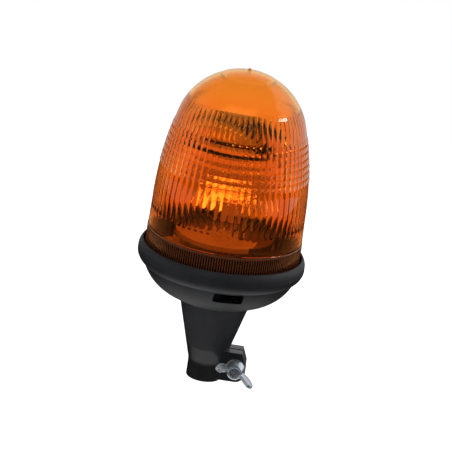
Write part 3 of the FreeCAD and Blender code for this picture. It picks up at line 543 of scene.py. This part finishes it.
def dippedFinish():
    material, paint = newFinish("dippedCase")
    dimples = paint.noise(*dipped["dimples"])
    paint.show(paint.principled(
        Base_Color=paint.blend(dimples.over(*dipped["dimpled"]), dipped["pale"], dipped["dark"]),
        Roughness=between(dipped["rough"], dimples), Normal=paint.bump(dimples, *dipped["relief"])))
    return material


jacket = dict(pale=rgb(0.16, 0.012, 0.010), dark=rgb(0.09, 0.008, 0.007), grain=(1400.0, 3.0),
              grained=(0.4, 0.7), rough=(0.4, 0.55), relief=(0.1, 0.03))


def jacketFinish():
    material, paint = newFinish("leadJacket")
    grain = paint.noise(*jacket["grain"])
    paint.show(paint.principled(
        Base_Color=paint.blend(grain.over(*jacket["grained"]), jacket["pale"], jacket["dark"]),
        Roughness=between(jacket["rough"], grain), Normal=paint.bump(grain, *jacket["relief"])))
    return material


finishes = {
    "amber_lens": amberFinish(), "black_rubber": rubberFinish(), "black_plastic": satinFinish(),
    "zinc_steel": zincFinish(), "ground_steel": steelFinish(), "brass": brassFinish(),
    "light_plastic": acetalFinish(), "ceramic": ceramicFinish(), "mirror_coat": mirrorFinish(),
    "clear_glass": glassFinish(), "tungsten": tungstenFinish(), "capacitor_case": dippedFinish(),
    "lead_jacket": jacketFinish(),
}
for part in frame["record"]["subparts"]:
    mesh = nodes[part["node"]].data
    mesh.materials.clear()
    mesh.materials.append(finishes[part["material_slot"]])
print("finishes made:", len(finishes))


def dress(piece, slot, *replaced):
    piece.data.materials.clear()
    piece.data.materials.append(finishes[slot])
    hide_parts(*replaced)


# Lens
lens = dict(wall=2.4, shoulder=127.4, shoulderIn=0.4, wallTopR=62.45, wallTop=146.6, sideRadius=280.0,
            edge=0.4, shoulderEdge=0.1, ribCount=7, ribLow=179.0, ribPitch=5.3, ribRise=0.55, ribPoints=6,
            discR=21.0, discRise=0.25, discEdgeDeg=1, nubR=1.3, nubH=2.2, nubEdge=(0.4, 0.5),
            steps=576, flutes=72, fluteLow=141.0, fluteHigh=237.5, fluteEnd=3.0, fluteDepth=0.4,
            fluteRows=(0.15, 0.35, 0.55, 0.8, 1), ridges=192, ridgeHeight=0.45, ridgeEnds=(1.2, 1.4),
            ridgeRow=1, skirtGrip=0.05, lugs=3, lugAngle=12.0, lugRise=(1.0, 3.0), lugDepth=3.1, smooth=25,
            rows=dict(foot=3, side=6, top=3, crown=10, disc=6, cap=8, flutes=10))
lensLow, lensHigh = (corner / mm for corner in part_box("lens_dome"))
sideR = lens["wallTopR"] - lens["sideRadius"]
domeH = lensHigh.z - lens["nubH"] - lens["wallTop"]
crownR = (lens["sideRadius"] ** 2 - sideR ** 2 - domeH ** 2) / (2 * (lens["sideRadius"] - domeH))
crownZ = lens["wallTop"] + domeH - crownR
joinDeg = math.degrees(math.atan2(crownZ - lens["wallTop"], -sideR))
joinZ = crownZ + crownR * math.sin(math.radians(joinDeg))


def sidePoint(z, out=0.0):
    tilt = math.asin((z - lens["wallTop"]) / lens["sideRadius"])
    reach = lens["sideRadius"] + out
    return sideR + reach * math.cos(tilt), lens["wallTop"] + reach * math.sin(tilt)


def innerPoint(z):
    # on the inner face, by its height
    crown = crownR - lens["wall"]
    if z > crownZ + crown * math.sin(math.radians(joinDeg)):
        return math.sqrt(crown ** 2 - (z - crownZ) ** 2), z
    reach = lens["sideRadius"] - lens["wall"]
    return sideR + math.sqrt(reach ** 2 - (z - lens["wallTop"]) ** 2), z


def heights(low, high, count):
    return [low + (high - low) * k / count for k in range(count + 1)]


def lensOutline():
    bottom, skirt, wall, edge = lensLow.z, lensHigh.x, lens["wall"], lens["edge"]
    shoulder, inward, wallTop, rows = lens["shoulder"], lens["shoulderIn"], lens["wallTop"], lens["rows"]
    # grip skirt, shoulder and side
    ridgeLow, ridgeTop = bottom + lens["ridgeEnds"][0], shoulder - lens["ridgeEnds"][1]
    ridgeRow = lens["ridgeRow"]
    outer = [(skirt - wall, bottom), (skirt - edge, bottom), (skirt, bottom + edge)]
    outer += [(skirt, z) for z in (ridgeLow, ridgeLow + ridgeRow, (ridgeLow + ridgeTop) / 2,
                                   ridgeTop - ridgeRow, ridgeTop)]
    outer += [(skirt, shoulder - edge), (skirt - lens["shoulderEdge"], shoulder),
              (skirt - inward, shoulder + inward)]
    outer += straightRun(outer[-1], (lens["wallTopR"], wallTop), rows["foot"])[1:]
    outer += [sidePoint(z) for z in heights(wallTop, lens["ribLow"], rows["side"])[1:]]
    # ring ribs
    pitch, points = lens["ribPitch"], lens["ribPoints"]
    for rib in range(lens["ribCount"]):
        low = lens["ribLow"] + rib * pitch
        outer += [sidePoint(low + pitch * t / points, lens["ribRise"] * math.sin(math.pi * t / points))
                  for t in range(1, points + 1)]
    ribTop = lens["ribLow"] + lens["ribCount"] * pitch
    outer += [sidePoint(z) for z in heights(ribTop, joinZ, rows["top"])[1:]]
    # crown with its raised disc and nub
    discDeg = math.degrees(math.acos(lens["discR"] / crownR))
    nubDeg = math.degrees(math.acos(lens["nubR"] / crownR))
    nubIn, nubDown = lens["nubEdge"]
    outer += arcRun((0, crownZ), crownR, joinDeg, discDeg - lens["discEdgeDeg"], rows["crown"])[1:]
    outer += arcRun((0, crownZ), crownR + lens["discRise"], discDeg, nubDeg, rows["disc"])
    outer += [(lens["nubR"], lensHigh.z - nubDown), (lens["nubR"] - nubIn, lensHigh.z), (0, lensHigh.z)]
    # inner face, with close rows where the flutes fade out
    capDeg = math.degrees(math.asin((lens["fluteHigh"] - crownZ) / (crownR - wall)))
    fluteRows = [lens["fluteEnd"] * share for share in lens["fluteRows"]]
    middle = heights(lens["fluteHigh"] - lens["fluteEnd"], lens["fluteLow"] + lens["fluteEnd"], rows["flutes"])
    inner = arcRun((0, crownZ), crownR - wall, 90, capDeg, rows["cap"])
    inner += [innerPoint(lens["fluteHigh"] - row) for row in fluteRows]
    inner += [innerPoint(z) for z in middle[1:-1] + [lens["fluteLow"] + row for row in reversed(fluteRows)]]
    inner += [(skirt - wall - inward, shoulder + inward), (skirt - wall, shoulder)]
    inner += [(skirt - wall, bottom + rise) for rise in reversed(lens["lugRise"])]
    return outer + inner


def stepOf(point, count):
    # which of the spin's steps a point lies on, counted within one repeat of the pattern
    repeat = lens["steps"] // count
    return round(math.atan2(point.y, point.x) / math.tau * lens["steps"]) % repeat / repeat


def fluteWeight(point):
    r, z = math.hypot(point.x, point.y) / mm, point.z / mm
    edge = min(z - lens["fluteLow"], lens["fluteHigh"] - z, lens["fluteEnd"]) / lens["fluteEnd"]
    if edge <= 0 or r > innerPoint(z)[0] + lens["wall"] / 2:
        return 0
    across = 2 * stepOf(point, lens["flutes"]) - 1
    return (1 - across ** 2) * edge ** 2 * (3 - 2 * edge)  # a hollow that fades out smoothly at its ends


def ridgeWeight(point):
    r, z = math.hypot(point.x, point.y) / mm, point.z / mm
    low = lensLow.z + lens["ridgeEnds"][0] + lens["ridgeRow"] / 2
    high = lens["shoulder"] - lens["ridgeEnds"][1] - lens["ridgeRow"] / 2
    return float(r > lensHigh.x - lens["skirtGrip"] and low < z < high and stepOf(point, lens["ridges"]) > 0)


def isLug(face):
    x, y, z = face.center / mm
    low, high = (lensLow.z + rise for rise in lens["lugRise"])
    turn = math.degrees(math.atan2(y, x)) % (360 / lens["lugs"])
    near = min(turn, 360 / lens["lugs"] - turn) < lens["lugAngle"] / 2
    return near and low < z < high and math.hypot(x, y) < lensHigh.x - lens["wall"] / 2


def makeLens():
    piece = lathe("amberLens", lensOutline(), lens["steps"])
    paintGroup(piece, "flutes", fluteWeight)
    pushGroup(piece, "flutes", lens["fluteDepth"])
    paintGroup(piece, "ridges", ridgeWeight)
    pushGroup(piece, "ridges", -lens["ridgeHeight"])
    pickFaces(piece, isLug)
    bpy.ops.mesh.extrude_region_move()
    skirtIn = lensHigh.x - lens["wall"]
    inward = (skirtIn - lens["lugDepth"]) / skirtIn
    bpy.ops.transform.resize(value=(inward, inward, 1), center_override=(0, 0, 0))
    bpy.ops.object.mode_set(mode="OBJECT")
    smooth(piece, lens["smooth"])
    dress(piece, "amber_lens", "lens_dome")
    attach(piece, "lens")
    print("lens:", len(piece.data.polygons), "faces")


makeLens()

# Neck
neck = dict(footR=15.3, footZ=17.4, topR=29.7, lip=70.3, foot=29.0, stubR=16.12, stubTop=39.3, wall=5.0,
            lipR=30.2, lipRise=1, floor=75.0, edge=0.5, mouthDrop=8, flangeIn=24.2, flangeH=2, rows=(26, 14),
            steps=128, smooth=40, bend=(39.0, 66.0))


def makeNeck():
    low, high = (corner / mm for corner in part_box("flexible_neck"))

    def outside(z):
        share = (z - neck["footZ"]) / (neck["lip"] - neck["footZ"])
        return neck["footR"] + share * (neck["topR"] - neck["footR"])

    foot, lip, floor, edge = neck["foot"], neck["lip"], neck["floor"], neck["edge"]
    outRows, inRows = neck["rows"]
    outline = [(neck["stubR"], foot), (outside(foot), foot)]
    outline += straightRun(outline[-1], (neck["topR"], lip), outRows)[1:]
    # flange that the ring holds down in the bowl
    outline += [(neck["lipR"], lip + neck["lipRise"]), (neck["lipR"], floor), (high.x - edge, floor),
                (high.x, floor + edge), (high.x, high.z - edge), (high.x - edge, high.z),
                (neck["flangeIn"], high.z), (neck["flangeIn"], high.z - neck["flangeH"])]
    mouth, stubTop = lip - neck["mouthDrop"], neck["stubTop"]
    outline += straightRun((outside(mouth) - neck["wall"], mouth),
                           (max(outside(stubTop) - neck["wall"], neck["stubR"]), stubTop), inRows)
    piece = lathe("rubberNeck", outline, neck["steps"])
    smooth(piece, neck["smooth"])
    dress(piece, "black_rubber", "flexible_neck")
    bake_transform(piece)
    print("neck:", len(piece.data.polygons), "faces")


makeNeck()

# Round tubes, for leads and coils
tube = dict(order=3, along=12, around=4)


def tubeAlong(name, points, radius, along=tube["along"]):
    # a round tube on one smooth line through the route's control points
    curve = bpy.data.curves.new(name, "CURVE")
    curve.dimensions = "3D"
    spline = curve.splines.new("NURBS")
    spline.points.add(len(points) - 1)
    for knot, point in zip(spline.points, points):
        knot.co = (*(Vector(point) * mm), 1)
    spline.order_u = tube["order"]
    spline.use_endpoint_u = True
    spline.resolution_u = along
    curve.bevel_depth = radius * mm
    curve.bevel_resolution = tube["around"]
    curve.use_fill_caps = True
    piece = bpy.data.objects.new(name, curve)
    bpy.context.scene.collection.objects.link(piece)
    selectOnly(piece)
    bpy.ops.object.convert(target="MESH")
    piece = bpy.context.object
    bpy.ops.object.mode_set(mode="EDIT")
    cleanUp()
    return piece


# Supply leads inside the neck
leads = dict(radius=1.0, spread=2.4, start=49.0, rise=61.0, block=(22.0, -8.0), under=86.0, end=99.0,
             bend=(50.0, 66.0), smooth=40)


def makeLeads():
    tubes = []
    for side in (1, -1):
        x = side * leads["spread"]
        endX, endY = leads["block"][0] + x, leads["block"][1]
        route = [(x, 0, leads["start"]), (x, 0, leads["rise"]),
                 (endX, endY, leads["under"]), (endX, endY, leads["end"])]
        tubes.append(tubeAlong("supplyLeads", route, leads["radius"]))
    piece = joinPieces(*tubes)
    smooth(piece, leads["smooth"])
    dress(piece, "lead_jacket", "supply_leads")
    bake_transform(piece)
    print("leads:", len(piece.data.polygons), "faces")


makeLeads()

# Wing nut, drawn with its axis along Z and then laid over onto the bolt
wing = dict(baseR=7.9, topR=6.4, height=9.5, round=1.4, roundRows=5, edge=0.4, boreR=4.2, hubSteps=64,
            tipR=16.5, tipZ=21.5, thick=3.0, rim=1.7, webSink=0.55, flat=0.9, wingRows=8,
            hub=dict(root=0.2, low=(0.52, 0.34), back=(0.29, 0.94), crest=0.88),  # shares of tipR and height
            tip=dict(belly=(0.82, 0.36), out=(1, 0.72), corner=(0.95, 0.97), top=(0.76, 1),
                     hollow=(0.56, 0.76)),  # shares of tipR and tipZ
            tilt=22.0, bolt=(25.0, -12.1, 14.75), voxel=0.28, blur=(0.5, 8), smooth=60)


def wingOutline():
    r, h, t, rows, hub = wing["tipR"], wing["height"], wing["tipZ"], wing["wingRows"], wing["hub"]
    low, back = ((r * hub[name][0], h * hub[name][1]) for name in ("low", "back"))
    belly, out, corner, top, hollow = ((r * across, t * up) for across, up in wing["tip"].values())
    inside = wing["boreR"] + wing["edge"]
    return ([(inside, h * hub["root"])] + throughRun(low, belly, out, rows)
            + throughRun(out, corner, top, rows)[1:] + throughRun(top, hollow, back, rows)[1:]
            + [(inside, h * hub["crest"])])


def makeWing(turn):
    piece = startPiece("wing")
    half = wing["thick"] / 2
    drawLoop([(r, half, z) for r, z in wingOutline()])
    bpy.ops.mesh.edge_face_add()
    bpy.ops.mesh.extrude_region_move(TRANSFORM_OT_translate={"value": (0, -wing["thick"] * mm, 0)})
    cleanUp()
    pickFaces(piece, lambda face: abs(face.normal.y) > wing["flat"])
    bpy.ops.mesh.inset(thickness=wing["rim"] * mm, depth=-wing["webSink"] * mm)
    bpy.ops.object.mode_set(mode="OBJECT")
    piece.data.transform(Matrix.Rotation(math.radians(turn), 4, "Z"))
    return piece


def makeWingNut():
    bore, height, edge, rounding = wing["boreR"], wing["height"], wing["edge"], wing["round"]
    outline = [(bore, 0), (wing["baseR"] - edge, 0), (wing["baseR"], edge)]
    outline += arcRun((wing["topR"] - rounding, height - rounding), rounding, 0, 90, wing["roundRows"])
    outline += [(bore + edge, height), (bore, height - edge)]
    hub = lathe("wingNut", outline, wing["hubSteps"])
    piece = joinPieces(hub, makeWing(0), makeWing(180))
    # the cast look: hub and wings become one skin, which is then softened
    applyModifier(piece, "cast", "REMESH", mode="VOXEL", voxel_size=wing["voxel"] * mm)
    factor, rounds = wing["blur"]
    applyModifier(piece, "soften", "SMOOTH", factor=factor, iterations=rounds)
    piece.data.transform(Matrix.Translation(Vector(wing["bolt"]) * mm)
                         @ Matrix.Rotation(math.radians(wing["tilt"]), 4, "Y")
                         @ Matrix.Rotation(math.radians(90), 4, "X"))
    smooth(piece, wing["smooth"])
    dress(piece, "zinc_steel", "wing_nut")
    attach(piece, "nut")
    print("wing nut:", len(piece.data.polygons), "faces")


makeWingNut()

# Mirror, drawn facing -Y and then turned to the way it faces at rest
dish = dict(focal=24.0, focus=177.6, halfW=37.0, low=140.0, top=226.0, corner=26.0, thick=1.4, rings=20,
            rows=dict(end=6, corner=12, side=8), bossR=4.0, bossH=8.0, bossEdge=0.4, bossSteps=32, bossDrop=26.0,
            back=27.0, smooth=40)


def mirrorOutline():
    wide, low, top, corner, rows = dish["halfW"], dish["low"], dish["top"], dish["corner"], dish["rows"]
    x, under, above = wide - corner, low + corner, top - corner
    return (straightRun((-x, low), (x, low), rows["end"])[:-1]
            + arcRun((x, under), corner, -90, 0, rows["corner"])
            + straightRun((wide, under), (wide, above), rows["side"])[1:-1]
            + arcRun((x, above), corner, 0, 90, rows["corner"])
            + straightRun((x, top), (-x, top), rows["end"])[1:-1]
            + arcRun((-x, above), corner, 90, 180, rows["corner"])
            + straightRun((-wide, above), (-wide, under), rows["side"])[1:-1]
            + arcRun((-x, under), corner, 180, 270, rows["corner"])[:-1])


def makeBoss(drop):
    r, h, edge = dish["bossR"], dish["bossH"], dish["bossEdge"]
    boss = lathe("boss", [(0, 0), (r, 0), (r, h - edge), (r - edge, h), (0, h)], dish["bossSteps"])
    boss.data.transform(Matrix.Translation(Vector((0, dish["back"] - h, dish["focus"] - drop)) * mm)
                        @ Matrix.Rotation(math.radians(-90), 4, "X"))
    return boss


def makeMirror():
    piece = startPiece("parabolicMirror")
    drawLoop([(x, dish["focal"], z) for x, z in mirrorOutline()])
    middle = Vector((0, dish["focal"], dish["focus"])) * mm
    for ring in range(dish["rings"], 1, -1):  # rings of the outline, each smaller, towards the mirror's axis
        bpy.ops.mesh.extrude_region_move()
        share = (ring - 1) / ring
        bpy.ops.transform.resize(value=(share, 1, share), center_override=middle)
    bpy.ops.mesh.extrude_region_move()
    bpy.ops.mesh.merge(type="CENTER")
    cleanUp()
    # the flat sheet is pushed into its bowl and gets its thickness
    reach = max((Vector((v.co.x, v.co.z)) - Vector((middle.x, middle.z))).length for v in piece.data.vertices)
    paintGroup(piece, "bowl", lambda p: (p.x ** 2 + (p.z - middle.z) ** 2) / reach ** 2)
    pushGroup(piece, "bowl", -(reach / mm) ** 2 / (4 * dish["focal"]), direction="Y")
    pickFaces(piece, lambda face: True)
    bpy.ops.mesh.extrude_region_move(TRANSFORM_OT_translate={"value": (0, dish["thick"] * mm, 0)})
    cleanUp()
    piece = joinPieces(piece, makeBoss(0), makeBoss(dish["bossDrop"]))
    piece.data.transform(Matrix.Rotation(facing, 4, "Z"))
    smooth(piece, dish["smooth"])
    dress(piece, "mirror_coat", "reflector")
    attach(piece, "mirror")
    print("mirror:", len(piece.data.polygons), "faces")


makeMirror()

# Filament, a coil on two legs
filament = dict(coilR=0.66, wire=0.09, turns=13, perTurn=12, along=2, length=4.5, topGap=0.1, legR=0.28,
                legX=(0.375, -1.5), hook=0.4, bendIn=0.7, bendDrop=0.2, endDrop=0.3, smooth=60)


def makeFilament():
    low, high = (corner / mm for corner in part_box("bulb_filament"))
    top = high.z - filament["topGap"]
    start = top - filament["length"]
    coilR, perTurn, hook = filament["coilR"], filament["perTurn"], filament["hook"]
    steps = filament["turns"] * perTurn
    coil = [(coilR * math.cos(math.tau * k / perTurn), coilR * math.sin(math.tau * k / perTurn),
             start + filament["length"] * k / steps) for k in range(steps + 1)]
    near, far = filament["legX"]
    nearLeg = [(near, 0, low.z), (near, 0, start), (coilR, 0, start + hook)]
    farLeg = [(far, 0, low.z), (far, 0, top - hook), (far * filament["bendIn"], 0, top - filament["bendDrop"]),
              (0, 0, top - filament["endDrop"])]
    piece = joinPieces(tubeAlong("filamentCoil", coil, filament["wire"], filament["along"]),
                       tubeAlong("leg", nearLeg, filament["legR"]), tubeAlong("leg", farLeg, filament["legR"]))
    smooth(piece, filament["smooth"])
    dress(piece, "tungsten", "bulb_filament")
    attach(piece, "head")
    print("filament:", len(piece.data.polygons), "faces")


makeFilament()

# Contact spring with closed end turns, which the plunger presses together
spring = dict(wire=0.4, turns=7, closed=0.8, perTurn=12, along=3, press=3.05, smooth=60)


def makeSpring():
    low, high = (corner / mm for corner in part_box("contact_spring"))
    coilR, foot = high.x - spring["wire"], low.z + spring["wire"]
    length = high.z - low.z
    rise = length - 2 * spring["wire"]
    active = spring["turns"] - 2 * spring["closed"]
    coil = []
    for k in range(spring["turns"] * spring["perTurn"] + 1):
        turn = k / spring["perTurn"]
        share = min(max((turn - spring["closed"]) / active, 0), 1)
        coil.append((coilR * math.cos(math.tau * turn), coilR * math.sin(math.tau * turn), foot + rise * share))
    piece = tubeAlong("contactSpring", coil, spring["wire"], spring["along"])
    smooth(piece, spring["smooth"])
    dress(piece, "zinc_steel", "contact_spring")
    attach(piece, "clamp")
    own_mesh(piece)
    print("spring:", len(piece.data.polygons), "faces")


makeSpring()

# Floor
floor = dict(size=4.0, drop=0.30, white=0.86, sheet=(0.2, 0.45))


def makeFloor():
    bpy.ops.object.select_all(action="DESELECT")
    bpy.ops.mesh.primitive_plane_add(size=floor["size"], location=(0, 0, cadLow.z - floor["drop"]))
    plane = bpy.context.object
    plane.name = "studioFloor"
    material, paint = newFinish("paleFloor")
    camera, glossy, through = paint.rays("Camera", "Glossy", "Transmission")
    matt = paint.add("ShaderNodeBsdfDiffuse", inputs={"Color": rgb(*[floor["white"]] * 3)})
    glow = paint.add("ShaderNodeEmission", inputs={"Strength": camera})
    lit = paint.add("ShaderNodeAddShader", inputs={0: matt, 1: glow})
    away = paint.add("ShaderNodeVectorMath", {"operation": "LENGTH"}, {0: paint.place()}, output="Value")
    dark = away.over(*floor["sheet"]) * (1 - through)  # a ray bent by the lens counts as glossy too
    sheet = paint.add("ShaderNodeEmission", inputs={"Strength": 1 - dark})
    paint.show(paint.mixShader(glossy, lit, sheet))
    plane.data.materials.append(material)


makeFloor()

# Studio light: a white sweep behind, a dark room in front, and lamps
studio = dict(ambient=0.30, dark=0.05, front=0.42, overhead=(0.55, 0.75), sweep=(-0.05, 0.2),
              grazing=(0.55, 0.9), grazingLight=0.55, sides=(0.6, 0.9), sideLight=0.3, ceiling=(0.70, 0.78),
              patch=4.0, patchHigh=((0.32, 0.48), (0.85, 0.95)), patchFront=(-0.45, -0.2),
              patchSide=((-0.80, -0.60), (0.28, 0.42)), box=((0.25, 0.45), (0.02, 0.12)), boxLight=0.8)
lampAim = Vector((0, 0, 0.16))
lamps = dict(
    keyRight=dict(toward=(0.86, 0.03, 0.51), distance=1.5, size=(0.55, 0.13), power=2.4, seen=True, spin=-20),
    softTop=dict(toward=(0.1, -0.5, 0.9), distance=1.6, size=(1.0, 1.0), power=5.0, seen=False, spin=0),
    softFront=dict(toward=(-0.9, -0.8, 0.15), distance=1.6, size=(1.0, 1.0), power=3.4, seen=False, spin=0))


def makeWorld():
    world = bpy.data.worlds.new("studio")
    bpy.context.scene.world = world
    world.use_nodes = True
    paint = Paint(world.node_tree)
    camera, glossy, through = paint.rays("Camera", "Glossy", "Transmission")
    side, back, high = paint.parts(paint.add("ShaderNodeTexCoord", output="Generated"))
    # what gloss shows: a dark room with a pale band behind, pale sides and a light box at the right
    below = 1 - high.over(*studio["ceiling"])
    boxSide, boxBack = studio["box"]
    box = side.over(*boxSide) * back.over(*boxBack) * below * studio["boxLight"]
    beside = abs(side).over(*studio["sides"])
    seen = studio["dark"] + below * (back.over(*studio["grazing"]) * studio["grazingLight"]
                                     + beside * studio["sideLight"])
    seen = seen.orMore(box)
    # what shows through the lens: the sweep, a dimmer room in front and a bright patch for the mirror
    room = between((studio["front"], 1), back.over(*studio["sweep"])).orMore(high.over(*studio["overhead"]))
    (lowEdge, highEdge), front = studio["patchHigh"], studio["patchFront"]
    leftEdge, rightEdge = studio["patchSide"]
    patch = high.over(*lowEdge) * (1 - high.over(*highEdge)) * (1 - back.over(*front)) * studio["patch"]
    patch = patch * side.over(*leftEdge) * (1 - side.over(*rightEdge))
    strength = between((studio["ambient"], seen), glossy)
    strength = between((strength, room + patch), through)
    strength = between((strength, 1), camera)
    glow = paint.add("ShaderNodeBackground", inputs={"Color": rgb(1, 1, 1), "Strength": strength})
    paint.add("ShaderNodeOutputWorld", inputs={"Surface": glow})


def makeLamp(name, toward, distance, size, power, seen, spin):
    place = lampAim + Vector(toward).normalized() * distance
    bpy.ops.object.select_all(action="DESELECT")
    bpy.ops.object.light_add(type="AREA", location=place)
    lamp = bpy.context.object
    lamp.name = name
    aim = (lampAim - place).to_track_quat("-Z", "Y").to_matrix() @ Matrix.Rotation(math.radians(spin), 3, "Z")
    lamp.rotation_euler = aim.to_euler()
    lamp.data.shape = "ELLIPSE"
    lamp.data.size, lamp.data.size_y = size
    lamp.data.energy = power
    lamp.visible_glossy = seen
    lamp.visible_transmission = seen
    lamp.visible_camera = False


makeWorld()
for lampName, lampValues in lamps.items():
    makeLamp(lampName, **lampValues)

# Camera
view = dict(elevation=18.0, distance=1.64, middle=0.132, lens=161.0, sensor=36.0, roll=8.65)


def makeCamera():
    lift = math.radians(view["elevation"])
    middle = Vector((0, 0, view["middle"]))
    place = middle + Vector((0, -math.cos(lift), math.sin(lift))) * view["distance"]
    bpy.ops.object.select_all(action="DESELECT")
    bpy.ops.object.camera_add(location=place)
    camera = bpy.context.object
    camera.name = "photoCamera"
    roll = Matrix.Rotation(math.radians(view["roll"]), 3, "Z")
    camera.rotation_euler = ((middle - place).to_track_quat("-Z", "Y").to_matrix() @ roll).to_euler()
    camera.data.lens = view["lens"]
    camera.data.sensor_width = view["sensor"]
    bpy.context.scene.camera = camera


makeCamera()
bpy.context.scene.view_settings.view_transform = "Standard"
print("stage set")
